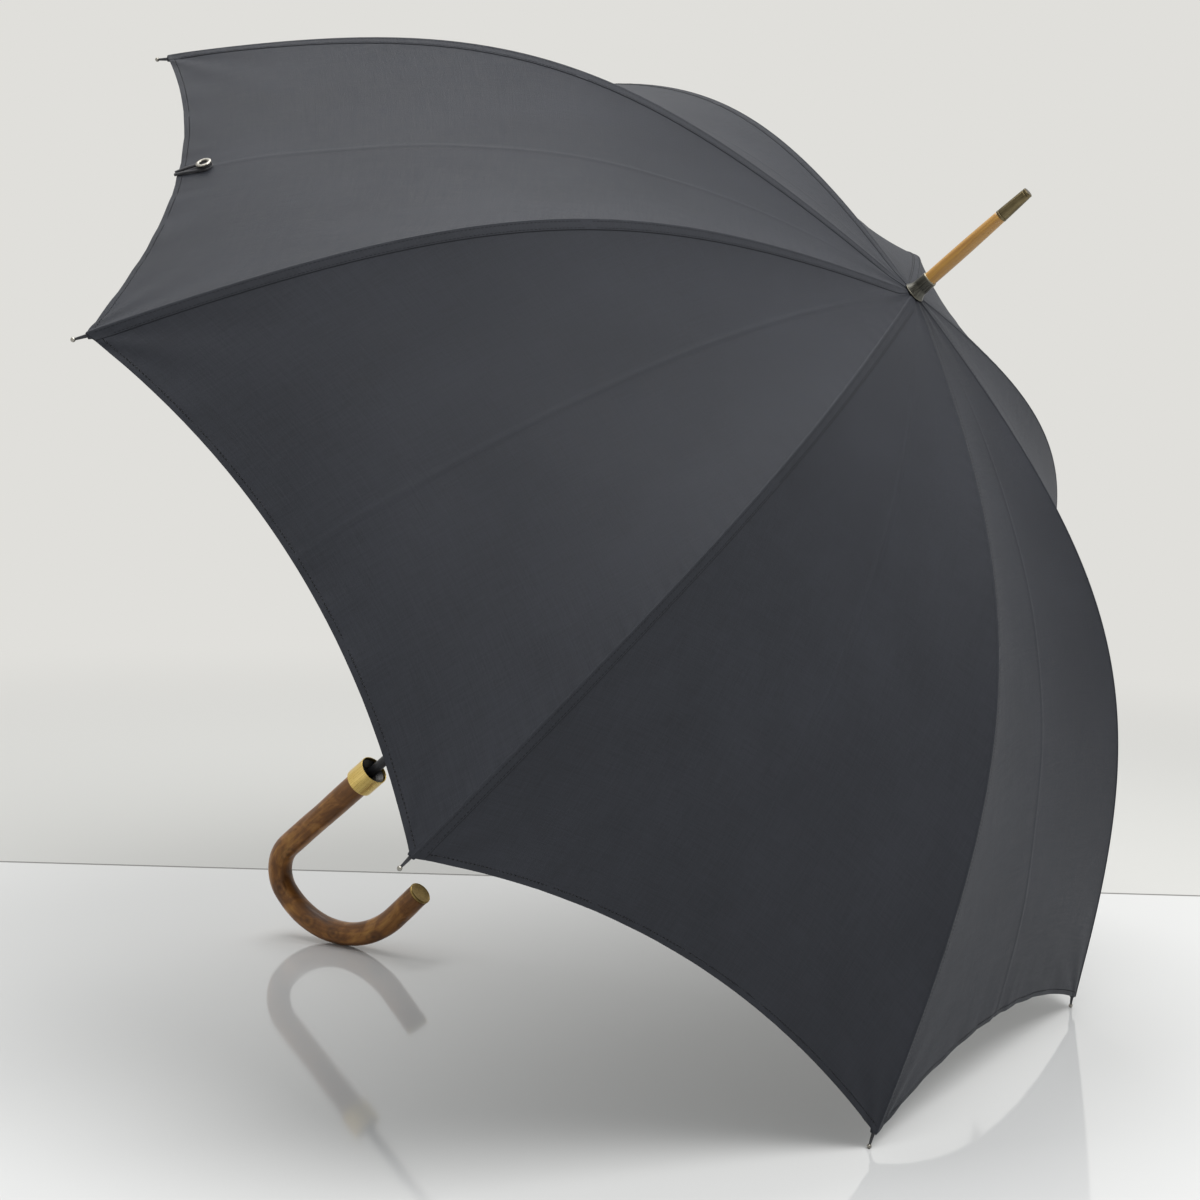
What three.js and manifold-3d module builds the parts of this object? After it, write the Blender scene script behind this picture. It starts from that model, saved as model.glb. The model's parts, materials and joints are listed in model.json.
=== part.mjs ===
// A stick umbrella with eight ribs, open, leaning on its crook and on two of its rib tips.
// The umbrella is modelled upright: +Z runs up the shaft to the ferrule, the crown is at the origin,
// and +X points to the side that the crook bends to. The last section tips it over to its resting pose.
import * as THREE from 'three';
import { mergeVertices } from 'three/addons/utils/BufferGeometryUtils.js';
import Module from 'manifold-3d';

const wasm = await Module();
wasm.setup();
const radians = THREE.MathUtils.degToRad;

// ---- Driving dimensions, in millimetres and degrees ----

const ribCount = 8;
const gap = 0.3; // between two pieces that touch
const cloth = 0.4; // thickness of the canopy's cloth
const shaftRadius = 4.1;

// The ridge of the cloth over a rib is one cubic curve, from the crown to the corner of the hem.
const crownReach = shaftRadius + 1.1;
const crownDrop = 2.65;
const crownSlope = radians(6.1);
const crownPull = 267; // how far the curve runs on in its first direction
const ribReach = 504.5; // from the shaft's axis to the corner
const ribDrop = 295.4; // from the crown down to the corner
const hemSlope = radians(53.9);
const hemPull = 263;

// The cloth between two ribs.
const hemLift = 33; // the hem's middle lies this far up the panel
const hemSag = 2.8;
const panelRows = 16;
const panelColumns = 6;
const panelCrowding = 0.07; // the rows of facets crowd together where the ribs bend most
const panelSag = 12; // how far the middle of a panel hangs below the straight line between its ribs

// Ribs: a steel channel, open to the inside.
const ribDepthBelowCloth = 1.2; // from the outside of the cloth to the rib's back
const ribWidth = 3;
const ribHeight = 3.4;
const ribWall = 0.55;
const ribShoulder = 0.6; // chamfer of the rib's back
const pivotBelowCloth = 3.7; // depth of the stretcher's rivet
const stretcherArc = 272; // along the ridge, from the crown to the stretcher's rivet
const flexArc = 8; // from the rivet on to the line where the rib bends
const flexGap = 0.4;
const ribEndArc = 6.5; // the channel stops this far before the corner
const ribSteps = 7;
const ribCrowding = 0.6; // below 1, the steps crowd together at the rivet

// Rib tips.
const tipArc = 6; // the tip's sleeve starts this far before the corner
const tipBelowCloth = 3;
const tipSleeve = 1.45; // radius
const tipNeck = 0.85;
const tipBall = 1.7;
const tipOut = 3.6; // from the corner of the cloth to the ball, outwards
const tipDown = 7.9; // and down

// Pivots at the notch and at the runner: a ring of wire through an eye on each rib and stretcher.
const pivotReach = shaftRadius + 3.9;
const pivotDrop = 7;
const wireRadius = 0.6;
const wireClearance = 0.3;
const eyeRadius = 1.7;
const eyeClearance = 0.5;
const bladeWidth = 1.4;
const slotWidth = 2;
const slotFloor = shaftRadius + 1.6; // radius of the slots' inner wall
const hubRadius = pivotReach + 3;
const hubChamfer = 0.8;
const bladeLap = 7; // of the blade along the channel
const closedJointReach = pivotReach + 3; // how close the rivets come to the axis when the umbrella is shut
const closedTipReach = shaftRadius + 4.4; // and the balls of the tips

// Stretchers.
const stretcherWidth = 2.6;
const stretcherHeight = 2.2;
const stretcherWall = 0.5;
const forkLength = 27;
const forkWeb = 4; // length of the solid web between the channel and the fork
const stretcherStart = 6; // of the channel, from the wire
const cheekWidth = 0.7;
const cheekRadius = 1.8;
const rivetRadius = 0.8;
const rivetHead = 1.3;
const rivetHeadWidth = 0.5;

// Shaft, notch, runner and catches.
const shaftWall = 0.8;
const shaftAbove = 20; // above the crown, inside the spike
const shaftInHandle = 50;
const notchTop = 3.9; // below the crown
const notchHeight = 7.6;
const notchSleeve = 6;
const runnerClearance = 0.4;
const runnerCrownAbove = 4;
const runnerCrownBelow = 4.5;
const runnerTube = shaftRadius + 2.2;
const runnerCone = 4; // height of the cone from the tube to the crown
const runnerLength = 42; // below the pivot
const runnerFlange = runnerTube + 1.7;
const runnerFlangeHeight = 4;
const windowTop = 16; // below the pivot
const windowHeight = 12;
const windowWidth = 3.2;
const seamWidth = 1.8;
const catchWidth = 1;
const catchReach = shaftRadius + 2.9; // radius of the catch's shoulder
const catchShoulder = 1.5; // height of the shoulder's outer face
const catchBack = 1.2; // radius of the shoulder's inner edge
const catchLength = 30;
const catchRamp = 12;
const catchStem = 1; // half its width at the pin
const catchTail = 1.2; // beyond the pin
const catchPin = 0.7;
const catchPlay = 0.6; // from the catch's shoulder to the edge of the runner's window
const slotPlay = 0.8; // from the catch's shoulder to the end of its slot in the shaft
const catchPress = radians(6);
const stopPinRadius = 0.8;
const stopPinReach = shaftRadius + 1.5;

// Crown cap, spike and ferrule.
const spikeBase = shaftRadius + 1;
const capNeck = spikeBase + 0.8;
const capRim = capNeck + 2.15;
const capHeight = 14;
const capBase = 2.15; // below the crown
const capEdge = 0.9; // height of the rim's edge
const capFlare = 2.2; // power of the flare's curve
const spikeStart = 4.2;
const ferruleStart = 80;
const ferruleEnd = 105.5;
const ferruleRim = 4.65;
const ferruleTip = 3.75;
const ferruleLip = 1.2; // height of its rim
const ferruleChamfer = 0.5;
const ferruleFloor = 5; // thickness of its end
const spikeTip = 3.1;

// Collar and crook.
const handleRadius = 10.7;
const collarGap = 2.5; // between the shut tips and the collar's rim
const collarRadius = handleRadius + 2.25;
const collarWall = 0.7;
const collarHeight = 20;
const collarChamfer = 0.3;
const linerDepth = 6.7; // below the rim
const linerHeight = 7;
const linerLip = 0.8; // width of its rim
const linerThroat = shaftRadius + 3; // radius at the bottom of the funnel
const handleShoulder = 4.4; // length of the handle inside the collar
const handleEndRadius = 10;
const straightLeg = 96; // of the handle, below the collar
const tightBend = 29; // radius of the centre line on the shaft's side
const wideBend = 79; // and on the open side
const endLean = radians(3);
const endLeg = 34;
const endDiscHeight = 2.2;
const endDiscChamfer = 0.7;

// Closure: an elastic loop from the hem of the first panel to a ring button.
const cordRadius = 1.1;
const buttonRadius = 5.6;
const buttonHeight = 4.2;
const buttonFoot = 5; // radius of the foot
const buttonWaist = 3.3; // radius of the waist that the loop goes round
const buttonPlate = 0.5; // thickness of the foot
const buttonHead = 0.9; // thickness of the head
const buttonInset = 20; // from the hem up the panel
const ringHeight = 1.4;
const ringHole = 2.8;
const ringChamfer = 0.6;
const strapLift = 0.5; // clear of the cloth
const hemOverlap = 1.5; // the loop starts this far beyond the hem
const loopStart = 1.6; // half the distance between the loop's two ends
const loopRise = 7; // up the panel, where the loop has opened out

// ---- Helpers ----

function material(color, roughness, metalness) {
  return new THREE.MeshStandardMaterial({ color, roughness, metalness });
}

const clothMaterial = material(0x3b3c40, 0.9, 0);
const blackSteel = material(0x202124, 0.45, 0.8);
const steel = material(0x8d8f92, 0.35, 0.9);
const bronze = material(0x4d4638, 0.4, 0.85);
const brass = material(0xc9ab62, 0.35, 0.9);
const paleWood = material(0xc08a4a, 0.5, 0);
const barkWood = material(0x6e4526, 0.55, 0);
const blackPlastic = material(0x17171a, 0.5, 0);

function mesh(name, geometry, finish) {
  const made = new THREE.Mesh(geometry, finish);
  made.name = name;
  return made;
}

// The closed mesh as a solid that can be joined and cut.
function solid(geometry) {
  const bare = geometry.clone();
  bare.deleteAttribute('normal');
  bare.deleteAttribute('uv');
  const merged = mergeVertices(bare, 1e-4);
  return new wasm.Manifold(new wasm.Mesh({
    numProp: 3,
    vertProperties: merged.attributes.position.array,
    triVerts: new Uint32Array(merged.index.array),
  }));
}

function geometryOf(manifold) {
  const made = manifold.getMesh();
  const geometry = new THREE.BufferGeometry();
  geometry.setAttribute('position', new THREE.BufferAttribute(made.vertProperties, 3));
  geometry.setIndex(new THREE.BufferAttribute(made.triVerts, 1));
  return geometry;
}

// Moves every vertex of a straight piece to its place on a curved one.
function bend(geometry, place) {
  const positions = geometry.attributes.position;
  const vertex = new THREE.Vector3();
  for (let i = 0; i < positions.count; i += 1) {
    vertex.fromBufferAttribute(positions, i);
    const moved = place(vertex.x, vertex.y, vertex.z);
    positions.setXYZ(i, moved.x, moved.y, moved.z);
  }
  return geometry;
}

// A turned piece about Z, from [radius, height] corners that run once round its section.
function turned(corners, sides = 24) {
  const profile = corners.map(([radius, height]) => new THREE.Vector2(radius, height));
  if (corners[0][0] > 0) profile.push(profile[0].clone());
  return new THREE.LatheGeometry(profile, sides).rotateX(Math.PI / 2);
}

// A closed sheet of two layers: place(along, across, depth) gives a point of it, with along from 0 to
// 1, across from -1 to 1, and depth 0 on the outside and 1 on the inside. Both layers are split along
// the same diagonals, so the wall keeps its thickness, and the two halves mirror each other.
function sheet(rows, columns, place) {
  const points = [];
  for (const depth of [0, 1]) {
    for (let row = 0; row <= rows; row += 1) {
      for (let column = 0; column <= columns; column += 1) {
        points.push(place(row / rows, (2 * column) / columns - 1, depth));
      }
    }
  }
  const corner = (depth, row, column) => (depth * (rows + 1) + row) * (columns + 1) + column;
  const faces = [];
  const quad = (a, b, c, d) => faces.push(a, b, c, a, c, d);
  for (let row = 0; row < rows; row += 1) {
    for (let column = 0; column < columns; column += 1) {
      const ring = [[row, column], [row + 1, column], [row + 1, column + 1], [row, column + 1]];
      if (column >= columns / 2) ring.push(ring.shift());
      quad(...ring.map((at) => corner(0, ...at)));
      const [a, b, c, d] = ring.map((at) => corner(1, ...at));
      quad(c, b, a, d);
    }
  }
  const rim = [];
  for (let row = 0; row < rows; row += 1) rim.push([row, 0]);
  for (let column = 0; column < columns; column += 1) rim.push([rows, column]);
  for (let row = rows; row > 0; row -= 1) rim.push([row, columns]);
  for (let column = columns; column > 0; column -= 1) rim.push([0, column]);
  rim.forEach((at, i) => {
    const next = rim[(i + 1) % rim.length];
    quad(corner(0, ...at), corner(1, ...at), corner(1, ...next), corner(0, ...next));
  });
  const geometry = new THREE.BufferGeometry().setFromPoints(points);
  return geometry.setIndex(faces);
}

function box(width, depth, height, x, y, z) {
  return new THREE.BoxGeometry(width, depth, height).translate(x, y, z);
}

// A flat plate in the XZ plane, centred on it.
function plate(shape, width, curveSegments = 5) {
  const settings = { depth: width, bevelEnabled: false, curveSegments };
  return new THREE.ExtrudeGeometry(shape, settings).rotateX(Math.PI / 2).translate(0, width / 2, 0);
}

function rodAlongY(radius, length, x, z, sides = 8) {
  return new THREE.CylinderGeometry(radius, radius, length, sides).translate(x, 0, z);
}

// ---- The folding frame in the plane of one rib: x is the distance from the axis, y the height ----

const ridge = new THREE.CubicBezierCurve(
  new THREE.Vector2(crownReach, -crownDrop),
  new THREE.Vector2(
    crownReach + crownPull * Math.cos(crownSlope),
    -crownDrop - crownPull * Math.sin(crownSlope),
  ),
  new THREE.Vector2(
    ribReach - hemPull * Math.cos(hemSlope),
    -ribDrop + hemPull * Math.sin(hemSlope),
  ),
  new THREE.Vector2(ribReach, -ribDrop),
);
ridge.arcLengthDivisions = 600;
const ridgeLength = ridge.getLength();

// The point at an arc length along the ridge, moved to the inside of the canopy by depth.
function under(arc, depth) {
  const at = THREE.MathUtils.clamp(arc / ridgeLength, 0, 1);
  const along = ridge.getTangentAt(at);
  return ridge.getPointAt(at).add(new THREE.Vector2(along.y, -along.x).multiplyScalar(depth));
}

// Turns a point about a centre, as a closing rib turns: outwards becomes downwards.
function closing(point, centre, angle) {
  return point.clone().rotateAround(centre, -angle);
}

const notchPivot = new THREE.Vector2(pivotReach, -pivotDrop);
const rivet = under(stretcherArc, pivotBelowCloth);
const armLength = rivet.distanceTo(notchPivot);
const openAngle = Math.atan2(rivet.x - pivotReach, notchPivot.y - rivet.y);
const closedAngle = Math.asin((closedJointReach - pivotReach) / armLength);
const foldAngle = openAngle - closedAngle;

// The stretcher is as long as the rib's inner arm, so the runner stays on the axis at every angle.
const runnerOpen = 2 * rivet.y - notchPivot.y;
const runnerClosed = notchPivot.y - 2 * armLength * Math.cos(closedAngle);

const flexLine = under(stretcherArc + flexArc, ribDepthBelowCloth);
const ballCentre = new THREE.Vector2(ribReach + tipOut, -ribDrop - tipDown);
const outerArm = ballCentre.clone().sub(flexLine);
const closedFlexLine = closing(flexLine, notchPivot, foldAngle);
const closedOuterAngle = Math.asin((closedTipReach - closedFlexLine.x) / outerArm.length());
const outerTurn = Math.atan2(outerArm.x, -outerArm.y) - closedOuterAngle;
const flexAngle = foldAngle - outerTurn;
const closedTip = closedFlexLine.y - outerArm.length() * Math.cos(closedOuterAngle);

const rim = closedTip - tipBall - collarGap; // height of the collar's rim
const ribAzimuth = (i) => (i - (ribCount - 1) / 2) * ((2 * Math.PI) / ribCount);
const panelAzimuth = (i) => ribAzimuth(i) + Math.PI / ribCount;

// ---- Ribs and tips ----

function channelSection(width, height, wall, shoulder) {
  const half = width / 2;
  const inner = half - wall;
  const section = new THREE.Shape();
  section.moveTo(-half, -height);
  section.lineTo(-inner, -height);
  section.lineTo(-inner, -wall);
  section.lineTo(inner, -wall);
  section.lineTo(inner, -height);
  section.lineTo(half, -height);
  section.lineTo(half, -shoulder);
  section.lineTo(half - shoulder, 0);
  section.lineTo(-half + shoulder, 0);
  section.lineTo(-half, -shoulder);
  return section;
}

// A stretch of the rib's channel, in the rib's own plane: X outwards, Y across, Z up.
// Its steps crowd together towards the end at curvedArc, because the rib bends most near the rivet.
function ribChannel(straightArc, curvedArc) {
  const section = channelSection(ribWidth, ribHeight, ribWall, ribShoulder);
  const settings = { depth: 1, steps: ribSteps, bevelEnabled: false };
  const outwards = curvedArc > straightArc;
  return bend(new THREE.ExtrudeGeometry(section, settings), (across, up, along) => {
    const share = (outwards ? along : 1 - along) ** ribCrowding;
    const at = under(THREE.MathUtils.lerp(straightArc, curvedArc, share), ribDepthBelowCloth - up);
    return new THREE.Vector3(at.x, across, at.y);
  });
}

// The blade that holds an eye round the wire, from the eye to two corners further out.
function eyeBlade(centre, upperEnd, lowerEnd) {
  const along = upperEnd.clone().add(lowerEnd).multiplyScalar(0.5).sub(centre).angle();
  const blade = new THREE.Shape();
  blade.absarc(centre.x, centre.y, eyeRadius, along + Math.PI / 2, along + 1.5 * Math.PI, false);
  blade.lineTo(lowerEnd.x, lowerEnd.y);
  blade.lineTo(upperEnd.x, upperEnd.y);
  const hole = new THREE.Path();
  hole.absarc(centre.x, centre.y, wireRadius + wireClearance, 0, 2 * Math.PI, true);
  blade.holes.push(hole);
  return plate(blade, bladeWidth);
}

// The rib's channel is wider than its slot, so it starts clear of the hub's lower edge when shut.
function innerRib() {
  const hubEdge = Math.hypot(hubRadius - pivotReach, notchTop + notchHeight - pivotDrop);
  const channelStart = pivotReach + hubEdge + 2 * gap - crownReach;
  const channel = ribChannel(channelStart, stretcherArc + flexArc - flexGap / 2);
  const bladeEnd = channelStart + bladeLap;
  const blade = eyeBlade(
    notchPivot,
    under(bladeEnd, ribDepthBelowCloth + ribWall / 2),
    under(bladeEnd, pivotBelowCloth),
  );
  const headAt = ribWidth / 2 + gap + cheekWidth + gap + rivetHeadWidth / 2;
  let rib = solid(channel).add(solid(blade));
  rib = rib.add(solid(rodAlongY(rivetRadius, 2 * headAt, rivet.x, rivet.y)));
  for (const side of [-1, 1]) {
    const head = rodAlongY(rivetHead, rivetHeadWidth, rivet.x, rivet.y);
    rib = rib.add(solid(head.translate(0, side * headAt, 0)));
  }
  return geometryOf(rib);
}

function outerRib() {
  return ribChannel(ridgeLength - ribEndArc, stretcherArc + flexArc + flexGap / 2);
}

function ribTip() {
  const start = under(ridgeLength - tipArc, tipBelowCloth);
  const along = ballCentre.clone().sub(start);
  const length = along.length();
  const corners = [[0, 0], [tipSleeve, 0], [tipSleeve, 0.4 * length], [tipNeck, length - 2 * tipBall]];
  const firstTurn = -Math.acos(tipNeck / tipBall);
  const turns = 4;
  for (let i = 0; i < turns; i += 1) {
    const angle = firstTurn + ((Math.PI / 2 - firstTurn) * i) / turns;
    corners.push([tipBall * Math.cos(angle), length + tipBall * Math.sin(angle)]);
  }
  corners.push([0, length + tipBall]);
  return turned(corners, 8)
    .rotateY(Math.PI / 2 - along.angle())
    .translate(start.x, 0, start.y);
}

// ---- Stretchers ----

// Along X from the runner's wire at the origin to the rivet, Y across.
function stretcher() {
  const forkStart = armLength - forkLength;
  const bladeEnd = 2 * stretcherStart;
  const section = channelSection(stretcherWidth, stretcherHeight, stretcherWall, stretcherWall);
  const channelLength = forkStart - stretcherStart;
  const channel = new THREE.ExtrudeGeometry(section, { depth: channelLength, bevelEnabled: false })
    .rotateX(Math.PI / 2)
    .rotateZ(Math.PI / 2)
    .translate(stretcherStart, 0, stretcherHeight / 2);
  const backInside = stretcherHeight / 2 - stretcherWall / 2;
  const blade = eyeBlade(
    new THREE.Vector2(0, 0),
    new THREE.Vector2(bladeEnd, backInside),
    new THREE.Vector2(bladeEnd, -backInside),
  );
  const cheekAt = ribWidth / 2 + gap + cheekWidth / 2;
  const webWidth = 2 * cheekAt + cheekWidth;
  let made = solid(channel).add(solid(blade));
  made = made.add(solid(box(forkWeb, webWidth, stretcherHeight, forkStart - forkWeb / 2, 0, 0)));
  const cheek = new THREE.Shape();
  cheek.absarc(armLength, 0, cheekRadius, -Math.PI / 2, Math.PI / 2, false);
  cheek.lineTo(forkStart - forkWeb, stretcherHeight / 2);
  cheek.lineTo(forkStart - forkWeb, -stretcherHeight / 2);
  const hole = new THREE.Path();
  hole.absarc(armLength, 0, rivetRadius + gap, 0, 2 * Math.PI, true);
  cheek.holes.push(hole);
  for (const side of [-1, 1]) {
    made = made.add(solid(plate(cheek, cheekWidth).translate(0, side * cheekAt, 0)));
  }
  return geometryOf(made);
}

// ---- Notch, runner and their wires ----

function wireRing(height, radius) {
  return new THREE.TorusGeometry(pivotReach, radius, 6, 24).translate(0, 0, height);
}

// Cuts the slots that the eyes turn in, from a floor or ceiling height to beyond the open end.
function cutSlots(body, closedEnd, openEnd) {
  const length = hubRadius + 1 - slotFloor;
  let cut = body;
  for (let i = 0; i < ribCount; i += 1) {
    const slot = box(length, slotWidth, Math.abs(openEnd - closedEnd), slotFloor + length / 2, 0, 0)
      .translate(0, 0, (openEnd + closedEnd) / 2)
      .rotateZ(ribAzimuth(i));
    cut = cut.subtract(solid(slot));
  }
  return cut;
}

function notch() {
  const bore = shaftRadius + gap;
  const bottom = -notchTop - notchHeight;
  const sleeve = slotFloor - 0.1; // inside the floor of the slots
  const body = turned([
    [bore, bottom - notchSleeve],
    [sleeve, bottom - notchSleeve],
    [sleeve, bottom],
    [hubRadius, bottom],
    [hubRadius, -notchTop - hubChamfer],
    [hubRadius - hubChamfer, -notchTop],
    [bore, -notchTop],
  ], 24);
  const slotted = cutSlots(solid(body), notchPivot.y + eyeRadius + eyeClearance, bottom - 1);
  const groove = solid(wireRing(notchPivot.y, wireRadius + wireClearance));
  return geometryOf(slotted.subtract(groove));
}

function runner() {
  const bore = shaftRadius + runnerClearance;
  const top = runnerOpen + runnerCrownAbove;
  const bottom = runnerOpen - runnerLength;
  const body = turned([
    [bore, bottom],
    [runnerFlange, bottom],
    [runnerFlange, bottom + runnerFlangeHeight / 2],
    [runnerTube, bottom + runnerFlangeHeight],
    [runnerTube, runnerOpen - runnerCrownBelow - runnerCone],
    [hubRadius, runnerOpen - runnerCrownBelow],
    [hubRadius, top],
    [bore, top],
  ], 24);
  const slotted = cutSlots(solid(body), runnerOpen - eyeRadius - eyeClearance, top + 1);
  const groove = solid(wireRing(runnerOpen, wireRadius + wireClearance));
  const wallWidth = hubRadius + 1 - shaftRadius;
  const wallAt = -shaftRadius - wallWidth / 2;
  const seamHeight = top - bottom + 2;
  const seam = solid(box(wallWidth, seamWidth, seamHeight, wallAt, 0, (top + bottom) / 2));
  const windowAt = runnerOpen - windowTop - windowHeight / 2;
  const windowCut = solid(box(wallWidth, windowWidth, windowHeight, wallAt, 0, windowAt));
  return geometryOf(slotted.subtract(groove).subtract(seam).subtract(windowCut));
}

// ---- Shaft, stop pin and the two spring catches ----

// The catch in the plane of the seam, its shoulder at the origin's height, its pivot below.
function catchPlate() {
  const pivot = new THREE.Vector2(-shaftRadius / 2, -catchLength);
  const blade = new THREE.Shape();
  blade.moveTo(-catchReach, 0);
  blade.lineTo(-catchReach, -catchShoulder);
  blade.lineTo(-shaftRadius + shaftWall + gap, -catchRamp);
  blade.lineTo(pivot.x - catchStem, pivot.y);
  blade.lineTo(pivot.x - catchStem, pivot.y - catchTail);
  blade.lineTo(pivot.x + catchStem, pivot.y - catchTail);
  blade.lineTo(pivot.x + catchStem, pivot.y);
  blade.lineTo(-catchBack, 0);
  const pinReach = Math.sqrt((shaftRadius - shaftWall) ** 2 - (pivot.x - catchPin) ** 2);
  const pin = rodAlongY(catchPin, 2 * (pinReach - gap), pivot.x, pivot.y);
  return geometryOf(solid(plate(blade, catchWidth)).add(solid(pin)));
}

const topCatchHeight = runnerOpen - windowTop - catchPlay;
const bottomCatchHeight = runnerClosed - windowTop - windowHeight + catchPlay;
const stopPinHeight = runnerOpen + runnerCrownAbove + gap + stopPinRadius;
const handleTop = rim - linerDepth - linerHeight - gap;
const shaftBottom = handleTop - shaftInHandle;

function shaft() {
  const inner = shaftRadius - shaftWall;
  const tube = turned([
    [inner, shaftBottom],
    [shaftRadius, shaftBottom],
    [shaftRadius, shaftAbove],
    [inner, shaftAbove],
  ], 24);
  let made = solid(tube);
  const slotLength = catchRamp + 3;
  const wall = shaftRadius;
  const cutWidth = catchWidth + 2 * gap;
  const above = topCatchHeight + slotPlay - slotLength / 2;
  const below = bottomCatchHeight - slotPlay + slotLength / 2;
  const topCut = box(wall, cutWidth, slotLength, -wall, 0, above);
  const lowCut = box(wall, cutWidth, slotLength, -wall, 0, below);
  const pinHole = rodAlongY(stopPinRadius + gap, 3 * shaftRadius, 0, stopPinHeight);
  for (const cut of [topCut, lowCut, pinHole]) made = made.subtract(solid(cut));
  return geometryOf(made);
}

// ---- Crown cap, spike and ferrule ----

function crownCap() {
  const shaftBore = shaftRadius + gap;
  const spikeBore = spikeBase + gap;
  const corners = [[shaftBore, -capBase], [capRim, -capBase], [capRim, -capBase + capEdge]];
  const steps = 5;
  for (let i = 1; i <= steps; i += 1) {
    const share = i / steps;
    corners.push([
      capNeck + (capRim - capNeck) * (1 - share) ** capFlare,
      -capBase + capEdge + (capHeight / 2) * share,
    ]);
  }
  corners.push([capNeck, capHeight], [spikeBore, capHeight], [spikeBore, spikeStart - gap]);
  corners.push([shaftBore, spikeStart - gap]);
  return turned(corners, 24);
}

const spikeEnd = ferruleEnd - ferruleFloor;
const spikeRadius = (height) => THREE.MathUtils.mapLinear(
  height, capHeight, spikeEnd, spikeBase, spikeTip,
);

function spike() {
  const bore = shaftRadius + gap;
  const boreEnd = shaftAbove + gap;
  return turned([
    [0, boreEnd],
    [bore, boreEnd],
    [bore, spikeStart],
    [spikeBase, spikeStart],
    [spikeBase, capHeight],
    [spikeRadius(ferruleStart), ferruleStart],
    [spikeTip, spikeEnd],
    [0, spikeEnd],
  ], 24);
}

function ferrule() {
  return turned([
    [0, spikeEnd + gap],
    [spikeTip + gap, spikeEnd + gap],
    [spikeRadius(ferruleStart) + gap, ferruleStart],
    [ferruleRim, ferruleStart],
    [ferruleRim, ferruleStart + ferruleLip],
    [ferruleTip, ferruleEnd - ferruleChamfer],
    [ferruleTip - ferruleChamfer, ferruleEnd],
    [0, ferruleEnd],
  ], 24);
}

// ---- Collar, its liner, the crook and the disc on its end ----

const bendStart = rim - collarHeight - straightLeg;

// The crook's centre line: [point, direction] at a length from the handle's top, in the XZ plane.
function crookAt(length) {
  const leg = handleTop - bendStart;
  const tightLength = (tightBend * Math.PI) / 2;
  const wideLength = wideBend * (Math.PI / 2 + endLean);
  const wideCentre = new THREE.Vector2(tightBend, bendStart - tightBend + wideBend);
  if (length <= leg) return [new THREE.Vector2(0, handleTop - length), -Math.PI / 2];
  if (length <= leg + tightLength) {
    const turn = Math.PI + (length - leg) / tightBend;
    const point = new THREE.Vector2(Math.cos(turn), Math.sin(turn)).multiplyScalar(tightBend);
    return [point.add(new THREE.Vector2(tightBend, bendStart)), turn + Math.PI / 2];
  }
  const past = Math.min(length - leg - tightLength, wideLength);
  const turn = 1.5 * Math.PI + past / wideBend;
  const point = new THREE.Vector2(Math.cos(turn), Math.sin(turn)).multiplyScalar(wideBend);
  const direction = turn + Math.PI / 2;
  const beyond = length - leg - tightLength - past;
  const straight = new THREE.Vector2(Math.cos(direction), Math.sin(direction));
  return [point.add(wideCentre).add(straight.multiplyScalar(beyond)), direction];
}

const crookLength = handleTop - bendStart + (tightBend * Math.PI) / 2
  + wideBend * (Math.PI / 2 + endLean) + endLeg;

// A piece turned about Z from 0 upwards, laid along the crook's centre line from a start length.
function alongCrook(geometry, start) {
  return bend(geometry, (x, y, z) => {
    const [point, direction] = crookAt(start + z);
    return new THREE.Vector3(
      point.x - x * Math.sin(direction),
      -y,
      point.y + x * Math.cos(direction),
    );
  });
}

const shoulderRadius = collarRadius - collarWall - gap;

function crook() {
  const corners = [
    [0, 0],
    [shoulderRadius, 0],
    [shoulderRadius, handleShoulder],
    [handleRadius, handleShoulder],
  ];
  const steps = 26;
  for (let i = 1; i < steps; i += 1) {
    const share = i / steps;
    const radius = THREE.MathUtils.lerp(handleRadius, handleEndRadius, share);
    corners.push([radius, THREE.MathUtils.lerp(handleShoulder, crookLength, share)]);
  }
  corners.push([handleEndRadius, crookLength], [0, crookLength]);
  const body = solid(alongCrook(turned(corners, 14), 0));
  const boreLength = shaftInHandle + gap;
  const bore = new THREE.CylinderGeometry(shaftRadius + gap, shaftRadius + gap, 2 * boreLength, 24)
    .rotateX(Math.PI / 2)
    .translate(0, 0, handleTop);
  return geometryOf(body.subtract(solid(bore)));
}

function endDisc() {
  const disc = turned([
    [0, 0],
    [handleEndRadius, 0],
    [handleEndRadius, endDiscHeight - endDiscChamfer],
    [handleEndRadius - endDiscChamfer, endDiscHeight],
    [0, endDiscHeight],
  ], 24);
  return alongCrook(disc, crookLength + gap);
}

function collar() {
  const inner = collarRadius - collarWall;
  const bottom = rim - collarHeight;
  const lipTop = handleTop - handleShoulder - gap;
  return turned([
    [handleRadius + gap, bottom],
    [collarRadius - collarChamfer, bottom],
    [collarRadius, bottom + collarChamfer],
    [collarRadius, rim - collarChamfer],
    [collarRadius - collarChamfer, rim],
    [inner, rim],
    [inner, lipTop],
    [handleRadius + gap, lipTop],
  ], 28);
}

function liner() {
  const bottom = handleTop + gap;
  return turned([
    [shaftRadius + gap, bottom],
    [shoulderRadius, bottom],
    [shoulderRadius, rim - linerDepth / 3],
    [shoulderRadius - linerLip, rim - linerDepth / 3],
    [linerThroat, rim - linerDepth],
    [shaftRadius + gap, rim - linerDepth],
  ], 28);
}

// ---- Canopy panels and the closure ----

const halfPanel = Math.PI / ribCount;

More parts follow.
